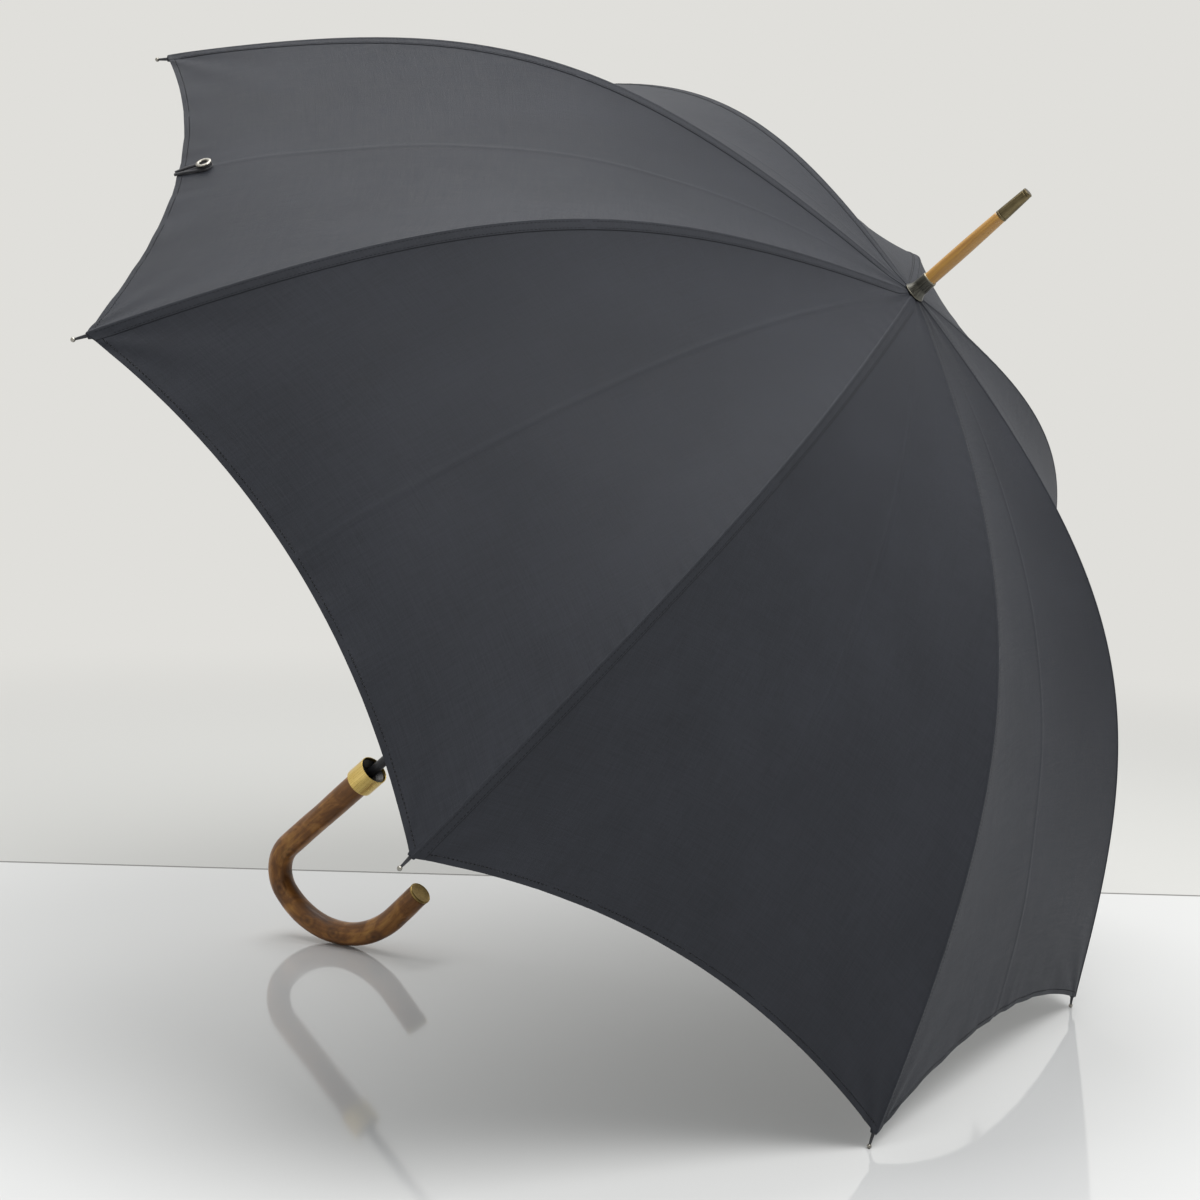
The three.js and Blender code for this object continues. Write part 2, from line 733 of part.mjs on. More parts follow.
// A point of a panel in its own plane: X outwards, Y across, Z up. share runs from the crown to the
// hem, across from -1 to 1, and depth inwards from the outside of the cloth.
function panelPoint(share, across, depth) {
  const arc = share * ridgeLength;
  const edge = under(arc, depth);
  const along = ridge.getTangentAt(THREE.MathUtils.clamp(share, 0, 1));
  const middle = 1 - across ** 2;
  const lift = hemLift * share ** 2 * middle;
  const sag = (panelSag * Math.sin(Math.PI * share) ** 2 + hemSag * share ** 2) * middle;
  return new THREE.Vector3(
    edge.x * Math.cos(halfPanel) - along.x * lift + along.y * sag,
    across * (edge.x * Math.sin(halfPanel) - gap / 2),
    edge.y - along.y * lift - along.x * sag,
  );
}

// The rows of a panel lie closer together where it bends more.
function rowShare(along) {
  return along + panelCrowding * Math.sin(2 * Math.PI * along);
}

function panel() {
  return sheet(panelRows, panelColumns, (along, across, depth) => (
    panelPoint(rowShare(along), across, depth * cloth)
  ));
}

// The closure's seat is the outside of the cloth's last row, at the panel's middle.
const hemMiddle = panelPoint(1, 0, 0);
const lastRow = panelPoint(rowShare(1 - 1 / panelRows), 0, 0);
const upPanel = lastRow.clone().sub(hemMiddle).normalize();
const acrossPanel = new THREE.Vector3(0, 1, 0);
const outOfPanel = new THREE.Vector3().crossVectors(acrossPanel, upPanel);

// A place near the button: distances up the panel from the hem, across, and out of the cloth.
function atClosure(up, across, out) {
  return hemMiddle.clone()
    .addScaledVector(upPanel, up)
    .addScaledVector(acrossPanel, across)
    .addScaledVector(outOfPanel, out + strapLift);
}

function seatedOnPanel(geometry) {
  const frame = new THREE.Matrix4().makeBasis(
    new THREE.Vector3().crossVectors(acrossPanel, outOfPanel),
    acrossPanel,
    outOfPanel,
  );
  frame.setPosition(atClosure(buttonInset, 0, 0));
  return geometry.applyMatrix4(frame);
}

function buttonBase() {
  const top = buttonHeight - gap;
  return seatedOnPanel(turned([
    [0, 0],
    [buttonFoot, 0],
    [buttonFoot, buttonPlate],
    [buttonWaist, buttonPlate],
    [buttonWaist, top - buttonHead],
    [buttonRadius, top - buttonHead],
    [buttonRadius, top],
    [0, top],
  ], 16));
}

function buttonRing() {
  return seatedOnPanel(turned([
    [ringHole, buttonHeight],
    [buttonRadius, buttonHeight],
    [buttonRadius, buttonHeight + ringHeight / 2],
    [buttonRadius - ringChamfer, buttonHeight + ringHeight],
    [ringHole + ringChamfer, buttonHeight + ringHeight],
    [ringHole, buttonHeight + ringHeight / 2],
  ], 16));
}

// The loop leaves the hem, runs up the cloth, passes round the button's waist and comes back.
function elasticLoop() {
  const round = buttonWaist + cordRadius + gap;
  const level = buttonPlate + gap + cordRadius;
  const route = [
    atClosure(-hemOverlap, -loopStart, cordRadius),
    atClosure(loopRise, -2 * loopStart, level),
  ];
  const turns = 6;
  for (let i = 0; i <= turns; i += 1) {
    const angle = -Math.PI / 2 + (Math.PI * i) / turns;
    const up = buttonInset + round * Math.cos(angle);
    route.push(atClosure(up, round * Math.sin(angle), level));
  }
  route.push(atClosure(loopRise, 2 * loopStart, level));
  route.push(atClosure(-hemOverlap, loopStart, cordRadius));
  const section = new THREE.Shape();
  section.absarc(0, 0, cordRadius, 0, 2 * Math.PI, false);
  const path = new THREE.CatmullRomCurve3(route);
  const settings = { steps: 22, curveSegments: 4, extrudePath: path, bevelEnabled: false };
  return new THREE.ExtrudeGeometry(section, settings);
}

// ---- The umbrella, upright ----

const umbrella = new THREE.Group();

umbrella.add(
  mesh('shaft', shaft(), blackSteel),
  mesh('notch', notch(), blackPlastic),
  mesh('notch_wire', wireRing(notchPivot.y, wireRadius), steel),
  mesh('stop_pin', rodAlongY(stopPinRadius, 2 * stopPinReach, 0, stopPinHeight), steel),
  mesh('runner', runner(), blackPlastic),
  mesh('runner_wire', wireRing(runnerOpen, wireRadius), steel),
  mesh('crown_cap', crownCap(), bronze),
  mesh('spike', spike(), paleWood),
  mesh('ferrule', ferrule(), bronze),
  mesh('collar', collar(), brass),
  mesh('collar_liner', liner(), blackPlastic),
  mesh('crook_handle', crook(), barkWood),
  mesh('crook_end_disc', endDisc(), brass),
);

const catchShape = catchPlate();
const topCatch = mesh('top_catch', catchShape, steel);
topCatch.position.z = topCatchHeight;
const bottomCatch = mesh('bottom_catch', catchShape, steel);
bottomCatch.rotation.x = Math.PI;
bottomCatch.position.z = bottomCatchHeight;
umbrella.add(topCatch, bottomCatch);

const innerRibShape = innerRib();
const outerRibShape = outerRib();
const tipShape = ribTip();
const stretcherShape = stretcher();
const panelShape = panel();
for (let i = 0; i < ribCount; i += 1) {
  const number = i + 1;
  const ribPlane = new THREE.Group();
  ribPlane.rotation.z = ribAzimuth(i);
  const arm = mesh(`stretcher_${number}`, stretcherShape, blackSteel);
  arm.position.set(pivotReach, 0, runnerOpen);
  arm.rotation.y = openAngle - Math.PI / 2;
  ribPlane.add(
    mesh(`rib_inner_${number}`, innerRibShape, blackSteel),
    mesh(`rib_outer_${number}`, outerRibShape, blackSteel),
    mesh(`rib_tip_${number}`, tipShape, steel),
    arm,
  );
  const panelPlane = new THREE.Group();
  panelPlane.rotation.z = panelAzimuth(i);
  panelPlane.add(mesh(`panel_${number}`, panelShape, clothMaterial));
  if (i === 0) {
    panelPlane.add(
      mesh('closure_loop', elasticLoop(), blackPlastic),
      mesh('closure_button', buttonBase(), blackPlastic),
      mesh('closure_ring', buttonRing(), steel),
    );
  }
  umbrella.add(ribPlane, panelPlane);
}

// ---- Resting pose: the wide bend of the crook and the two tips beside its plane touch the floor ----

const tipX = ballCentre.x * Math.cos(halfPanel);
const acrossFeet = tipX - tightBend;
const upFeet = ballCentre.y - (bendStart - tightBend + wideBend);
const restShare = 0.6; // how far along the crook it touches the floor
const crookOutside = wideBend + THREE.MathUtils.lerp(handleRadius, handleEndRadius, restShare);
const tilt = Math.acos((tipBall - crookOutside) / Math.hypot(acrossFeet, upFeet))
  - Math.atan2(acrossFeet, upFeet);
umbrella.rotation.y = tilt;

const bounds = new THREE.Box3().setFromObject(umbrella, true);
const middle = bounds.getCenter(new THREE.Vector3());
umbrella.position.set(-middle.x, -middle.y, -bounds.min.z);

const part = new THREE.Group();
part.add(umbrella);

// The joints' angles and places, in the upright umbrella's own plane of a rib.
part.userData = {
  tilt,
  origin: umbrella.position.toArray(),
  foldAngle,
  flexAngle,
  catchPress,
  notchPivot: notchPivot.toArray(),
  rivet: rivet.toArray(),
  flexLine: flexLine.toArray(),
  runnerPivot: [pivotReach, runnerOpen],
  runnerClosed,
  rim,
  topCatchPivot: [-shaftRadius / 2, topCatchHeight - catchLength],
  bottomCatchPivot: [-shaftRadius / 2, bottomCatchHeight + catchLength],
  hemMiddle: hemMiddle.toArray(),
};

export default part;
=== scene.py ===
"""The looks of an open stick umbrella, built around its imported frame."""
import math

import bpy
import numpy as np
from mathutils import Matrix, Vector
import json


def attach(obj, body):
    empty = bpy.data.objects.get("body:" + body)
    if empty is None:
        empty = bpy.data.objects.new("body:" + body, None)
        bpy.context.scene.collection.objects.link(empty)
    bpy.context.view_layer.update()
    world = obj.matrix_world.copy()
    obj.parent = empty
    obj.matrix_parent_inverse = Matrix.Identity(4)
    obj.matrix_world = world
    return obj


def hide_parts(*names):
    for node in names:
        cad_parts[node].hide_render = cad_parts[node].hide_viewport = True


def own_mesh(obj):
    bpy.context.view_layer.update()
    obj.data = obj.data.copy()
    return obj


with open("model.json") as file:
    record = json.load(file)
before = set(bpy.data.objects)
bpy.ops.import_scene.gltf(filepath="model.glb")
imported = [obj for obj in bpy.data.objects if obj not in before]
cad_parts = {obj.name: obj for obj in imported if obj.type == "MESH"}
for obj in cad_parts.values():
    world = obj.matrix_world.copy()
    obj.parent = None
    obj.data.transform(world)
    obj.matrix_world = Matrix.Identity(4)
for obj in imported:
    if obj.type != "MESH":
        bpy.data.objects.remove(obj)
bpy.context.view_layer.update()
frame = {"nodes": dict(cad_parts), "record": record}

MM = 0.001
RIBS = 8
STEP = math.tau / RIBS
HALF = STEP / 2

# ---- The umbrella's own frame: Z up the shaft from the crown, X towards the crook's bend ----

mounts = {m["name"]: m for m in frame["record"]["mounts"]}
FERRULE_END = 105.5  # mm from the crown
UP = np.array(mounts["ferrule_end"]["axis"])
OUT = np.array([UP[2], 0, -UP[0]])
BASIS = np.array([OUT, [0, 1, 0], UP])
CROWN = np.array(mounts["ferrule_end"]["pos_m"]) - UP * FERRULE_END * MM


def in_row(points):
    """Points in the umbrella's own frame, in mm, as points in the row frame, in metres."""
    return CROWN + np.asarray(points, float) @ BASIS * MM


def in_umbrella(points):
    """Points in the row frame, in metres, as points in the umbrella's own frame, in mm."""
    return (np.asarray(points, float) - CROWN) @ BASIS.T / MM


def node_points(name):
    """A CAD node's vertices in the umbrella's own frame."""
    return in_umbrella([v.co for v in frame["nodes"][name].data.vertices])


def rib_azimuth(number):
    return (number - 1 - (RIBS - 1) / 2) * STEP


def turned_about_shaft(points, azimuth):
    c, s = math.cos(azimuth), math.sin(azimuth)
    return np.asarray(points) @ np.array([[c, s, 0], [-s, c, 0], [0, 0, 1]])


# ---- Camera ----

AZIMUTH = math.radians(30.63)
ELEVATION = math.radians(6.4)
ROLL = math.radians(1.64)
LENS = 68.17
CAMERA_AT = Vector((0.8682, -1.5109, 0.5111))


def added(name, data):
    """A new object in the scene."""
    made = bpy.data.objects.new(name, data)
    bpy.context.collection.objects.link(made)
    return made


def make_camera():
    camera = added("camera", bpy.data.cameras.new("camera"))
    camera.data.lens = LENS
    turn = Matrix.Rotation(AZIMUTH, 4, "Z") @ Matrix.Rotation(math.pi / 2 - ELEVATION, 4, "X")
    camera.matrix_world = Matrix.Translation(CAMERA_AT) @ turn @ Matrix.Rotation(ROLL, 4, "Z")
    bpy.context.scene.camera = camera


make_camera()

# ---- Materials ----


def srgb(red, green, blue):
    """A colour from 0 to 255 in each channel, as the shaders take it."""
    channels = [c / 255 for c in (red, green, blue)]
    return [c / 12.92 if c <= 0.04045 else ((c + 0.055) / 1.055) ** 2.4 for c in channels] + [1]


class Nodes:
    """Adds and links shader nodes in one tree."""

    def __init__(self, tree):
        self.tree = tree

    def put(self, kind, inputs=None, **attributes):
        node = self.tree.nodes.new("ShaderNode" + kind)
        for name, value in attributes.items():
            setattr(node, name, value)
        for name, value in (inputs or {}).items():
            self.feed(node.inputs[name], value)
        return node

    def feed(self, socket, value):
        if isinstance(value, bpy.types.NodeSocket):
            self.tree.links.new(value, socket)
        else:
            socket.default_value = value

    def math(self, operation, first, second=0.0, clamp=False):
        node = self.put("Math", {0: first, 1: second}, operation=operation, use_clamp=clamp)
        return node.outputs["Value"]

    def seen_rays(self):
        """1 for rays that the camera, a reflection or glass sees, and 0 for light."""
        rays = self.put("LightPath").outputs
        seen = self.math("MAXIMUM", rays["Is Camera Ray"], rays["Is Glossy Ray"])
        return self.math("MAXIMUM", seen, rays["Is Transmission Ray"])

    def show(self, share, first, second, output):
        """Shows a mix of two shaders."""
        mix = self.put("MixShader", {0: share, 1: first.outputs[0], 2: second.outputs[0]})
        self.feed(self.tree.nodes[output].inputs["Surface"], mix.outputs[0])


class Finish(Nodes):
    """A material, whose principled shader takes its plain values by name."""

    def __init__(self, name, **sockets):
        self.material = bpy.data.materials.new(name)
        self.material.use_nodes = True
        super().__init__(self.material.node_tree)
        self.shader = self.tree.nodes["Principled BSDF"]
        for socket, value in sockets.items():
            label = socket.replace("_", " ").title().replace("Ior", "IOR")
            self.shader.inputs[label].default_value = value

    def lay(self, scale):
        """Coordinates along the piece's own surface, stored on its points, in metres."""
        stored = self.put("Attribute", attribute_name="lay")
        return self.scaled(stored.outputs["Vector"], scale)

    def place(self, scale):
        """Coordinates in the umbrella's frame at rest, in metres: Z along the shaft."""
        here = self.put("TexCoord").outputs["Object"]
        tilt = math.atan2(UP[0], UP[2])
        turned = self.put("Mapping", {"Vector": here, "Rotation": (0, -tilt, 0)}).outputs["Vector"]
        return self.scaled(turned, scale)

    def scaled(self, vector, scale):
        node = self.put("VectorMath", {0: vector, 1: scale}, operation="MULTIPLY")
        return node.outputs["Vector"]

    def noise(self, vector, detail, roughness=0.55, distortion=0):
        inputs = {"Vector": vector, "Scale": 1.0, "Detail": detail,
                  "Roughness": roughness, "Distortion": distortion}
        return self.put("TexNoise", inputs).outputs["Fac"]

    def ranged(self, value, low, high, to_low=0.0, to_high=1.0):
        inputs = {"Value": value, "From Min": low, "From Max": high,
                  "To Min": to_low, "To Max": to_high}
        return self.put("MapRange", inputs).outputs["Result"]

    def mix(self, share, first, second):
        node = self.put("Mix", data_type="RGBA")
        self.feed(node.inputs[0], share)
        self.feed(node.inputs[6], first)
        self.feed(node.inputs[7], second)
        return node.outputs[2]

    def bump(self, height, strength, distance):
        inputs = {"Height": height, "Strength": strength, "Distance": distance}
        node = self.put("Bump", inputs)
        previous = self.shader.inputs["Normal"]
        if previous.is_linked:
            self.feed(node.inputs["Normal"], previous.links[0].from_socket)
        self.feed(previous, node.outputs["Normal"])

    def colour(self, *mix):
        self.feed(self.shader.inputs["Base Color"], self.mix(*mix))

    def roughness(self, *ranged):
        self.feed(self.shader.inputs["Roughness"], self.ranged(*ranged))


THREAD = 0.0006  # m from one thread of the cloth to the next


def cloth_finish():
    """Plain-woven charcoal cloth: threads across and along, slubs, and a soft sheen."""
    made = Finish("cloth", roughness=0.66, sheen_weight=0.07, sheen_roughness=0.4,
                  specular_ior_level=0.2)
    made.shader.inputs["Sheen Tint"].default_value = srgb(205, 208, 220)
    ends, picks = (
        made.put("TexWave", {"Vector": made.lay(scale), "Scale": 0.5, "Distortion": 0.6,
                             "Detail": 1.0, "Detail Scale": 0.7}, bands_direction=direction)
        for scale, direction in (((1 / THREAD, 0, 0), "X"), ((0, 1 / THREAD, 0), "Y"))
    )
    weave = made.math("MULTIPLY", ends.outputs["Fac"], picks.outputs["Fac"])
    slub_across = made.noise(made.lay((900, 40, 1)), 2)
    slub_along = made.noise(made.lay((40, 900, 1)), 2)
    slubs = made.math("ADD", slub_across, slub_along)
    cloudy = made.noise(made.lay((14, 9, 1)), 4)
    tone = made.math("ADD", made.math("MULTIPLY", slubs, 0.5), made.math("MULTIPLY", cloudy, 0.5))
    shade = made.ranged(tone, 0.55, 0.95)
    base = made.mix(shade, srgb(33, 35, 40), srgb(45, 47, 53))
    threads = made.ranged(weave, 0.0, 0.9, 0.0, 0.25)
    made.colour(threads, base, srgb(59, 61, 68))
    made.roughness(slubs, 0.7, 1.3, 0.56, 0.7)
    made.bump(weave, 0.35, 0.00018)
    made.bump(slubs, 0.25, 0.00025)
    return made.material


def thread_finish():
    """Sewing thread: fine mottling all over."""
    made = Finish("thread", roughness=0.75, sheen_weight=0.05, specular_ior_level=0.15)
    twist = made.noise(made.lay((1800, 1800, 1800)), 2)
    made.colour(twist, srgb(20, 21, 24), srgb(38, 40, 45))
    made.bump(twist, 0.3, 0.0002)
    return made.material


def painted_steel_finish():
    """Black paint on steel, a little uneven, with fine specks."""
    made = Finish("black_steel", metallic=0.35, roughness=0.34, specular_ior_level=0.6)
    fine = made.noise(made.place((240, 240, 60)), 4)
    specks = made.noise(made.place((1400, 1400, 1400)), 2)
    made.colour(fine, srgb(28, 29, 32), srgb(52, 53, 58))
    made.roughness(fine, 0.3, 0.7, 0.26, 0.44)
    made.bump(specks, 0.12, 0.00008)
    return made.material


def metal_finish(name, dark, light, roughness, brushed, wear=0.0):
    """Metal brushed along the shaft, with tarnish and small pits."""
    made = Finish(name, metallic=1.0)
    streaks = made.noise(made.place((1100, 1100, 22)), 3)
    tarnish = made.noise(made.place((120, 120, 60)), 5, 0.6)
    pits = made.noise(made.place((2200, 2200, 2200)), 1)
    tone = made.math("ADD", made.math("MULTIPLY", streaks, brushed),
                     made.math("MULTIPLY", tarnish, 1 - brushed))
    base = [made.ranged(tone, 0.36, 0.64), dark, light]
    if wear:
        edges = made.put("NewGeometry").outputs["Pointiness"]
        worn = made.math("MULTIPLY", made.ranged(edges, 0.52, 0.6), wear, clamp=True)
        base = [worn, made.mix(*base), srgb(206, 196, 170)]
    made.colour(*base)
    made.roughness(tone, 0.3, 0.7, roughness - 0.08, roughness + 0.1)
    made.bump(streaks, 0.05, 0.00005)
    made.bump(pits, 0.03, 0.00005)
    return made.material


def spike_wood_finish():
    """Lacquered honey-coloured wood with its grain and pores along the shaft."""
    made = Finish("spike_wood", coat_weight=0.45, coat_roughness=0.18, roughness=0.42)
    grain = made.noise(made.place((420, 420, 16)), 5, 0.6, 0.4)
    fibres = made.noise(made.place((2400, 2400, 60)), 2)
    base = made.mix(made.ranged(grain, 0.34, 0.66), srgb(156, 108, 36), srgb(192, 144, 60))
    pores = made.math("MULTIPLY", made.ranged(fibres, 0.6, 0.76), 0.3)
    made.colour(pores, base, srgb(116, 76, 28))
    made.roughness(grain, 0.3, 0.7, 0.34, 0.5)
    made.bump(fibres, 0.08, 0.00005)
    return made.material


def bark_finish():
    """Lacquered chestnut with its bark on: long streaks, mottling and dark knots."""
    made = Finish("handle_wood", coat_weight=0.15, coat_roughness=0.25, specular_ior_level=0.3)
    streaks = made.noise(made.lay((170, 170, 12)), 6, 0.6, 0.6)
    mottle = made.noise(made.lay((52, 52, 34)), 5, 0.55, 0.8)
    fibres = made.noise(made.lay((1300, 1300, 70)), 3)
    spots = made.noise(made.lay((420, 420, 240)), 2)
    tone = made.math("ADD", made.math("MULTIPLY", streaks, 0.4), made.math("MULTIPLY", mottle, 0.6))
    low = made.mix(made.ranged(tone, 0.36, 0.52), srgb(88, 54, 22), srgb(136, 88, 38))
    base = made.mix(made.ranged(tone, 0.5, 0.64), low, srgb(182, 130, 62))
    flecks = made.math("MULTIPLY", made.ranged(spots, 0.6, 0.72), 0.4)
    base = made.mix(flecks, base, srgb(74, 42, 14))
    knot = made.put("Attribute", attribute_name="knot").outputs["Fac"]
    made.colour(made.math("MULTIPLY", knot, 0.6, clamp=True), base, srgb(50, 27, 8))
    made.roughness(tone, 0.35, 0.65, 0.46, 0.34)
    made.bump(streaks, 0.2, 0.0003)
    made.bump(fibres, 0.15, 0.0001)
    return made.material


def plastic_finish():
    """Black moulded plastic with a fine grain."""
    made = Finish("black_plastic", roughness=0.42)
    grain = made.noise(made.place((900, 900, 900)), 3)
    made.colour(grain, srgb(20, 20, 22), srgb(34, 34, 37))
    made.roughness(grain, 0.3, 0.7, 0.36, 0.5)
    made.bump(grain, 0.12, 0.00008)
    return made.material


def elastic_finish():
    """Braided cord: two crossing spirals of threads."""
    made = Finish("elastic", roughness=0.75, sheen_weight=0.3)
    parts = made.put("SeparateXYZ", {"Vector": made.lay((1, 1, 1))}).outputs
    angle = made.math("MULTIPLY", parts["X"], 6.0)
    spirals = []
    for turn in (1, -1):
        travel = made.math("MULTIPLY", parts["Z"], 5200.0 * turn)
        spirals.append(made.math("SINE", made.math("ADD", angle, travel)))
    braid = made.math("MAXIMUM", *spirals)
    made.colour(made.ranged(braid, -0.4, 1.0), srgb(12, 12, 14), srgb(50, 50, 55))
    made.bump(braid, 0.5, 0.00012)
    return made.material


cloth = cloth_finish()
thread = thread_finish()
black_steel = painted_steel_finish()
bright_steel = metal_finish("bright_steel", srgb(150, 152, 155), srgb(214, 216, 218), 0.24, 0.5)
bronze = metal_finish("bronze", srgb(70, 62, 44), srgb(118, 106, 78), 0.34, 0.4, wear=0.8)
gunmetal = metal_finish("gunmetal", srgb(44, 43, 40), srgb(98, 97, 90), 0.28, 0.4, wear=0.8)
nickel = metal_finish("nickel", srgb(104, 101, 94), srgb(168, 165, 158), 0.26, 0.4)
old_brass = metal_finish("old_brass", srgb(112, 92, 52), srgb(166, 142, 88), 0.34, 0.4)
brass = metal_finish("brass", srgb(206, 176, 98), srgb(236, 208, 134), 0.28, 0.6)
spike_wood = spike_wood_finish()
handle_wood = bark_finish()
black_plastic = plastic_finish()
elastic = elastic_finish()

# ---- Meshes ----


def shifted(faces, count):
    """Faces whose corners count on from an earlier shell's points."""
    if isinstance(faces, np.ndarray):
        return (faces + count).tolist()
    return [[corner + count for corner in face] for face in faces]


def piece(name, shells, finishes, body, node=None, smooth=None, attributes=()):
    """One object on a body, with a slot's finish, in place of a CAD node where one is named.

    Each shell is (points in mm, faces, {normals, lay, finish}), in the umbrella's frame, and its
    finish is one number or one for each face. The object keeps its shells' own normals, or is
    smooth up to an angle in degrees.
    """
    points, faces, normals, lay, kinds = [], [], [], [], []
    count = 0
    for shell_points, shell_faces, extra in shells:
        shell_points = np.asarray(shell_points, float).reshape(-1, 3)
        size = len(shell_points)
        points.append(shell_points)
        faces += shifted(shell_faces, count)
        normals.append(np.reshape(extra.get("normals", np.zeros((size, 3))), (-1, 3)))
        lay.append(np.reshape(extra.get("lay", shell_points * MM), (-1, 3)))
        kinds.append(np.broadcast_to(extra.get("finish", 0), len(shell_faces)))
        count += size
    mesh = bpy.data.meshes.new(name)
    mesh.from_pydata(in_row(np.concatenate(points)).tolist(), [], faces)
    mesh.attributes.new("lay", "FLOAT_VECTOR", "POINT").data.foreach_set(
        "vector", np.concatenate(lay).astype(np.float32).ravel())
    for label, values in attributes:
        mesh.attributes.new(label, "FLOAT", "POINT").data.foreach_set("value", values)
    for finish in finishes:
        mesh.materials.append(finish)
    mesh.polygons.foreach_set("material_index", np.concatenate(kinds).astype(np.int32))
    mesh.shade_smooth()
    if smooth is None:
        own = np.concatenate(normals) @ BASIS
        mesh.normals_split_custom_set_from_vertices(own.tolist())
    else:
        mesh.set_sharp_from_angle(angle=math.radians(smooth))
    made = added(name, mesh)
    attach(made, body)
    if node:
        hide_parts(node)
    return made


def turned_piece(name, profile, finish, node, sides=96, smooth=35, body="root", lay_on=None):
    """A turned piece in place of its CAD node, laid where lay_on puts its points."""
    points, faces = lathe(profile, sides)
    shell = (lay_on(points) if lay_on else points, faces, {})
    piece(name, [shell], [finish], body, node, smooth)


def circle(sides):
    """Equal angles round a circle, from 0."""
    return np.arange(sides) * math.tau / sides


def grid_faces(rows, columns, flip=False, ring=False):
    """Quads over a grid of rows x columns points; ring closes the columns."""
    across = np.arange(columns if ring else columns - 1)
    r, c = np.meshgrid(np.arange(rows - 1), across, indexing="ij")
    after = (c + 1) % columns
    quads = np.stack([r * columns + c, (r + 1) * columns + c,
                      (r + 1) * columns + after, r * columns + after], -1).reshape(-1, 4)
    return quads[:, ::-1] if flip else quads


def tube_faces(rows, sides):
    """A tube's quads over rows of points, with a cap on each end."""
    caps = [list(range(sides)), list(range((rows - 1) * sides, rows * sides))[::-1]]
    return grid_faces(rows, sides, ring=True).tolist() + caps


def turned_over(faces):
    """The same faces, facing the other way."""
    return [list(face)[::-1] for face in faces]


def unit(vectors):
    vectors = np.asarray(vectors, float)
    return vectors / np.maximum(np.linalg.norm(vectors, axis=-1, keepdims=True), 1e-12)


def walked(path):
    """The distance walked to each point of a path."""
    return np.concatenate([[0], np.cumsum(np.linalg.norm(np.diff(path, axis=0), axis=1))])


def lathe(profile, sides=96):
    """A shell turned about Z from (radius, height) points.

    The profile starts and ends on the axis, or clear of it, and is then closed into a ring.
    """
    profile = np.array(profile, float)
    closed = profile[0, 0] > 0
    angles = circle(sides)
    inner = profile if closed else profile[1:-1]
    points = np.stack([inner[:, :1] * np.cos(angles), inner[:, :1] * np.sin(angles),
                       np.repeat(inner[:, 1:], sides, 1)], -1).reshape(-1, 3)
    last = (len(inner) - 1) * sides
    faces = grid_faces(len(inner), sides, ring=True, flip=True).tolist()
    ring = [(i, (i + 1) % sides) for i in range(sides)]
    if closed:
        faces += [[last + i, last + j, j, i] for i, j in ring]
        return points, faces
    ends = np.array([[0, 0, profile[0, 1]], [0, 0, profile[-1, 1]]])
    low, high = len(points), len(points) + 1
    faces += [[low, j, i] for i, j in ring]
    faces += [[high, last + i, last + j] for i, j in ring]
    return np.concatenate([points, ends]), faces


def rounded(corners, radius, steps=4):
    """A profile with its corners rounded; the first and the last point stay."""
    corners = [np.array(c, float) for c in corners]
    made = [corners[0]]
    for before, corner, after in zip(corners, corners[1:], corners[2:]):
        back, on = before - corner, after - corner
        reach = min(radius, 0.45 * np.linalg.norm(back), 0.45 * np.linalg.norm(on))
        start, end = corner + unit(back) * reach, corner + unit(on) * reach
        for i in range(steps + 1):
            t = i / steps
            made.append(start * (1 - t) ** 2 + 2 * corner * t * (1 - t) + end * t ** 2)
    return made + [corners[-1]]


# ---- The ridge over a rib: a cubic curve from the crown to the corner of the hem ----

CROWN_REACH, CROWN_DROP = 5.2, 2.65
RIB_REACH, RIB_DROP = 504.5, 295.4
CROWN_SLOPE, HEM_SLOPE = math.radians(6.1), math.radians(53.9)
CROWN_PULL, HEM_PULL = 267, 263
HEM_LIFT, HEM_SAG, PANEL_SAG = 33, 2.8, 12
CLOTH = 0.35
FLEX_ARC = 280  # where the ribs bend


def ridge_table():
    start = np.array([CROWN_REACH, -CROWN_DROP])
    end = np.array([RIB_REACH, -RIB_DROP])
    first = start + CROWN_PULL * np.array([math.cos(CROWN_SLOPE), -math.sin(CROWN_SLOPE)])
    second = end + HEM_PULL * np.array([-math.cos(HEM_SLOPE), math.sin(HEM_SLOPE)])
    t = np.linspace(0, 1, 4001)[:, None]
    curve = ((1 - t) ** 3 * start + 3 * (1 - t) ** 2 * t * first
             + 3 * (1 - t) * t ** 2 * second + t ** 3 * end)
    arc = walked(curve)
    return arc, curve, np.gradient(curve, arc, axis=0)


ARC, CURVE, TANGENT = ridge_table()
LENGTH = ARC[-1]
FLEX = FLEX_ARC / LENGTH


def ridge(share):
    """The ridge's point and direction at a share of its length, which may run past its end."""
    arc = np.asarray(share, float) * LENGTH
    at = np.clip(arc, 0, LENGTH)
    point = np.stack([np.interp(at, ARC, CURVE[:, i]) for i in (0, 1)], -1)
    along = unit(np.stack([np.interp(at, ARC, TANGENT[:, i]) for i in (0, 1)], -1))
    return point + along * (arc - at)[..., None], along


def half_width(share):
    """From a gore's middle to its rib, in mm."""
    return ridge(share)[0][..., 0] * math.sin(HALF)


def taut(share, across):
    """The cloth as its ribs stretch it, in the gore's own plane: X outwards, Y across, Z up."""
    edge, along = ridge(share)
    middle = 1 - across ** 2
    lift = HEM_LIFT * share ** 2 * middle
    sag = (PANEL_SAG * np.sin(math.pi * share) ** 2 + HEM_SAG * share ** 2) * middle
    return np.stack([
        edge[..., 0] * math.cos(HALF) - along[..., 0] * lift + along[..., 1] * sag,
        across * edge[..., 0] * math.sin(HALF),
        edge[..., 1] - along[..., 1] * lift - along[..., 0] * sag,
    ], -1)


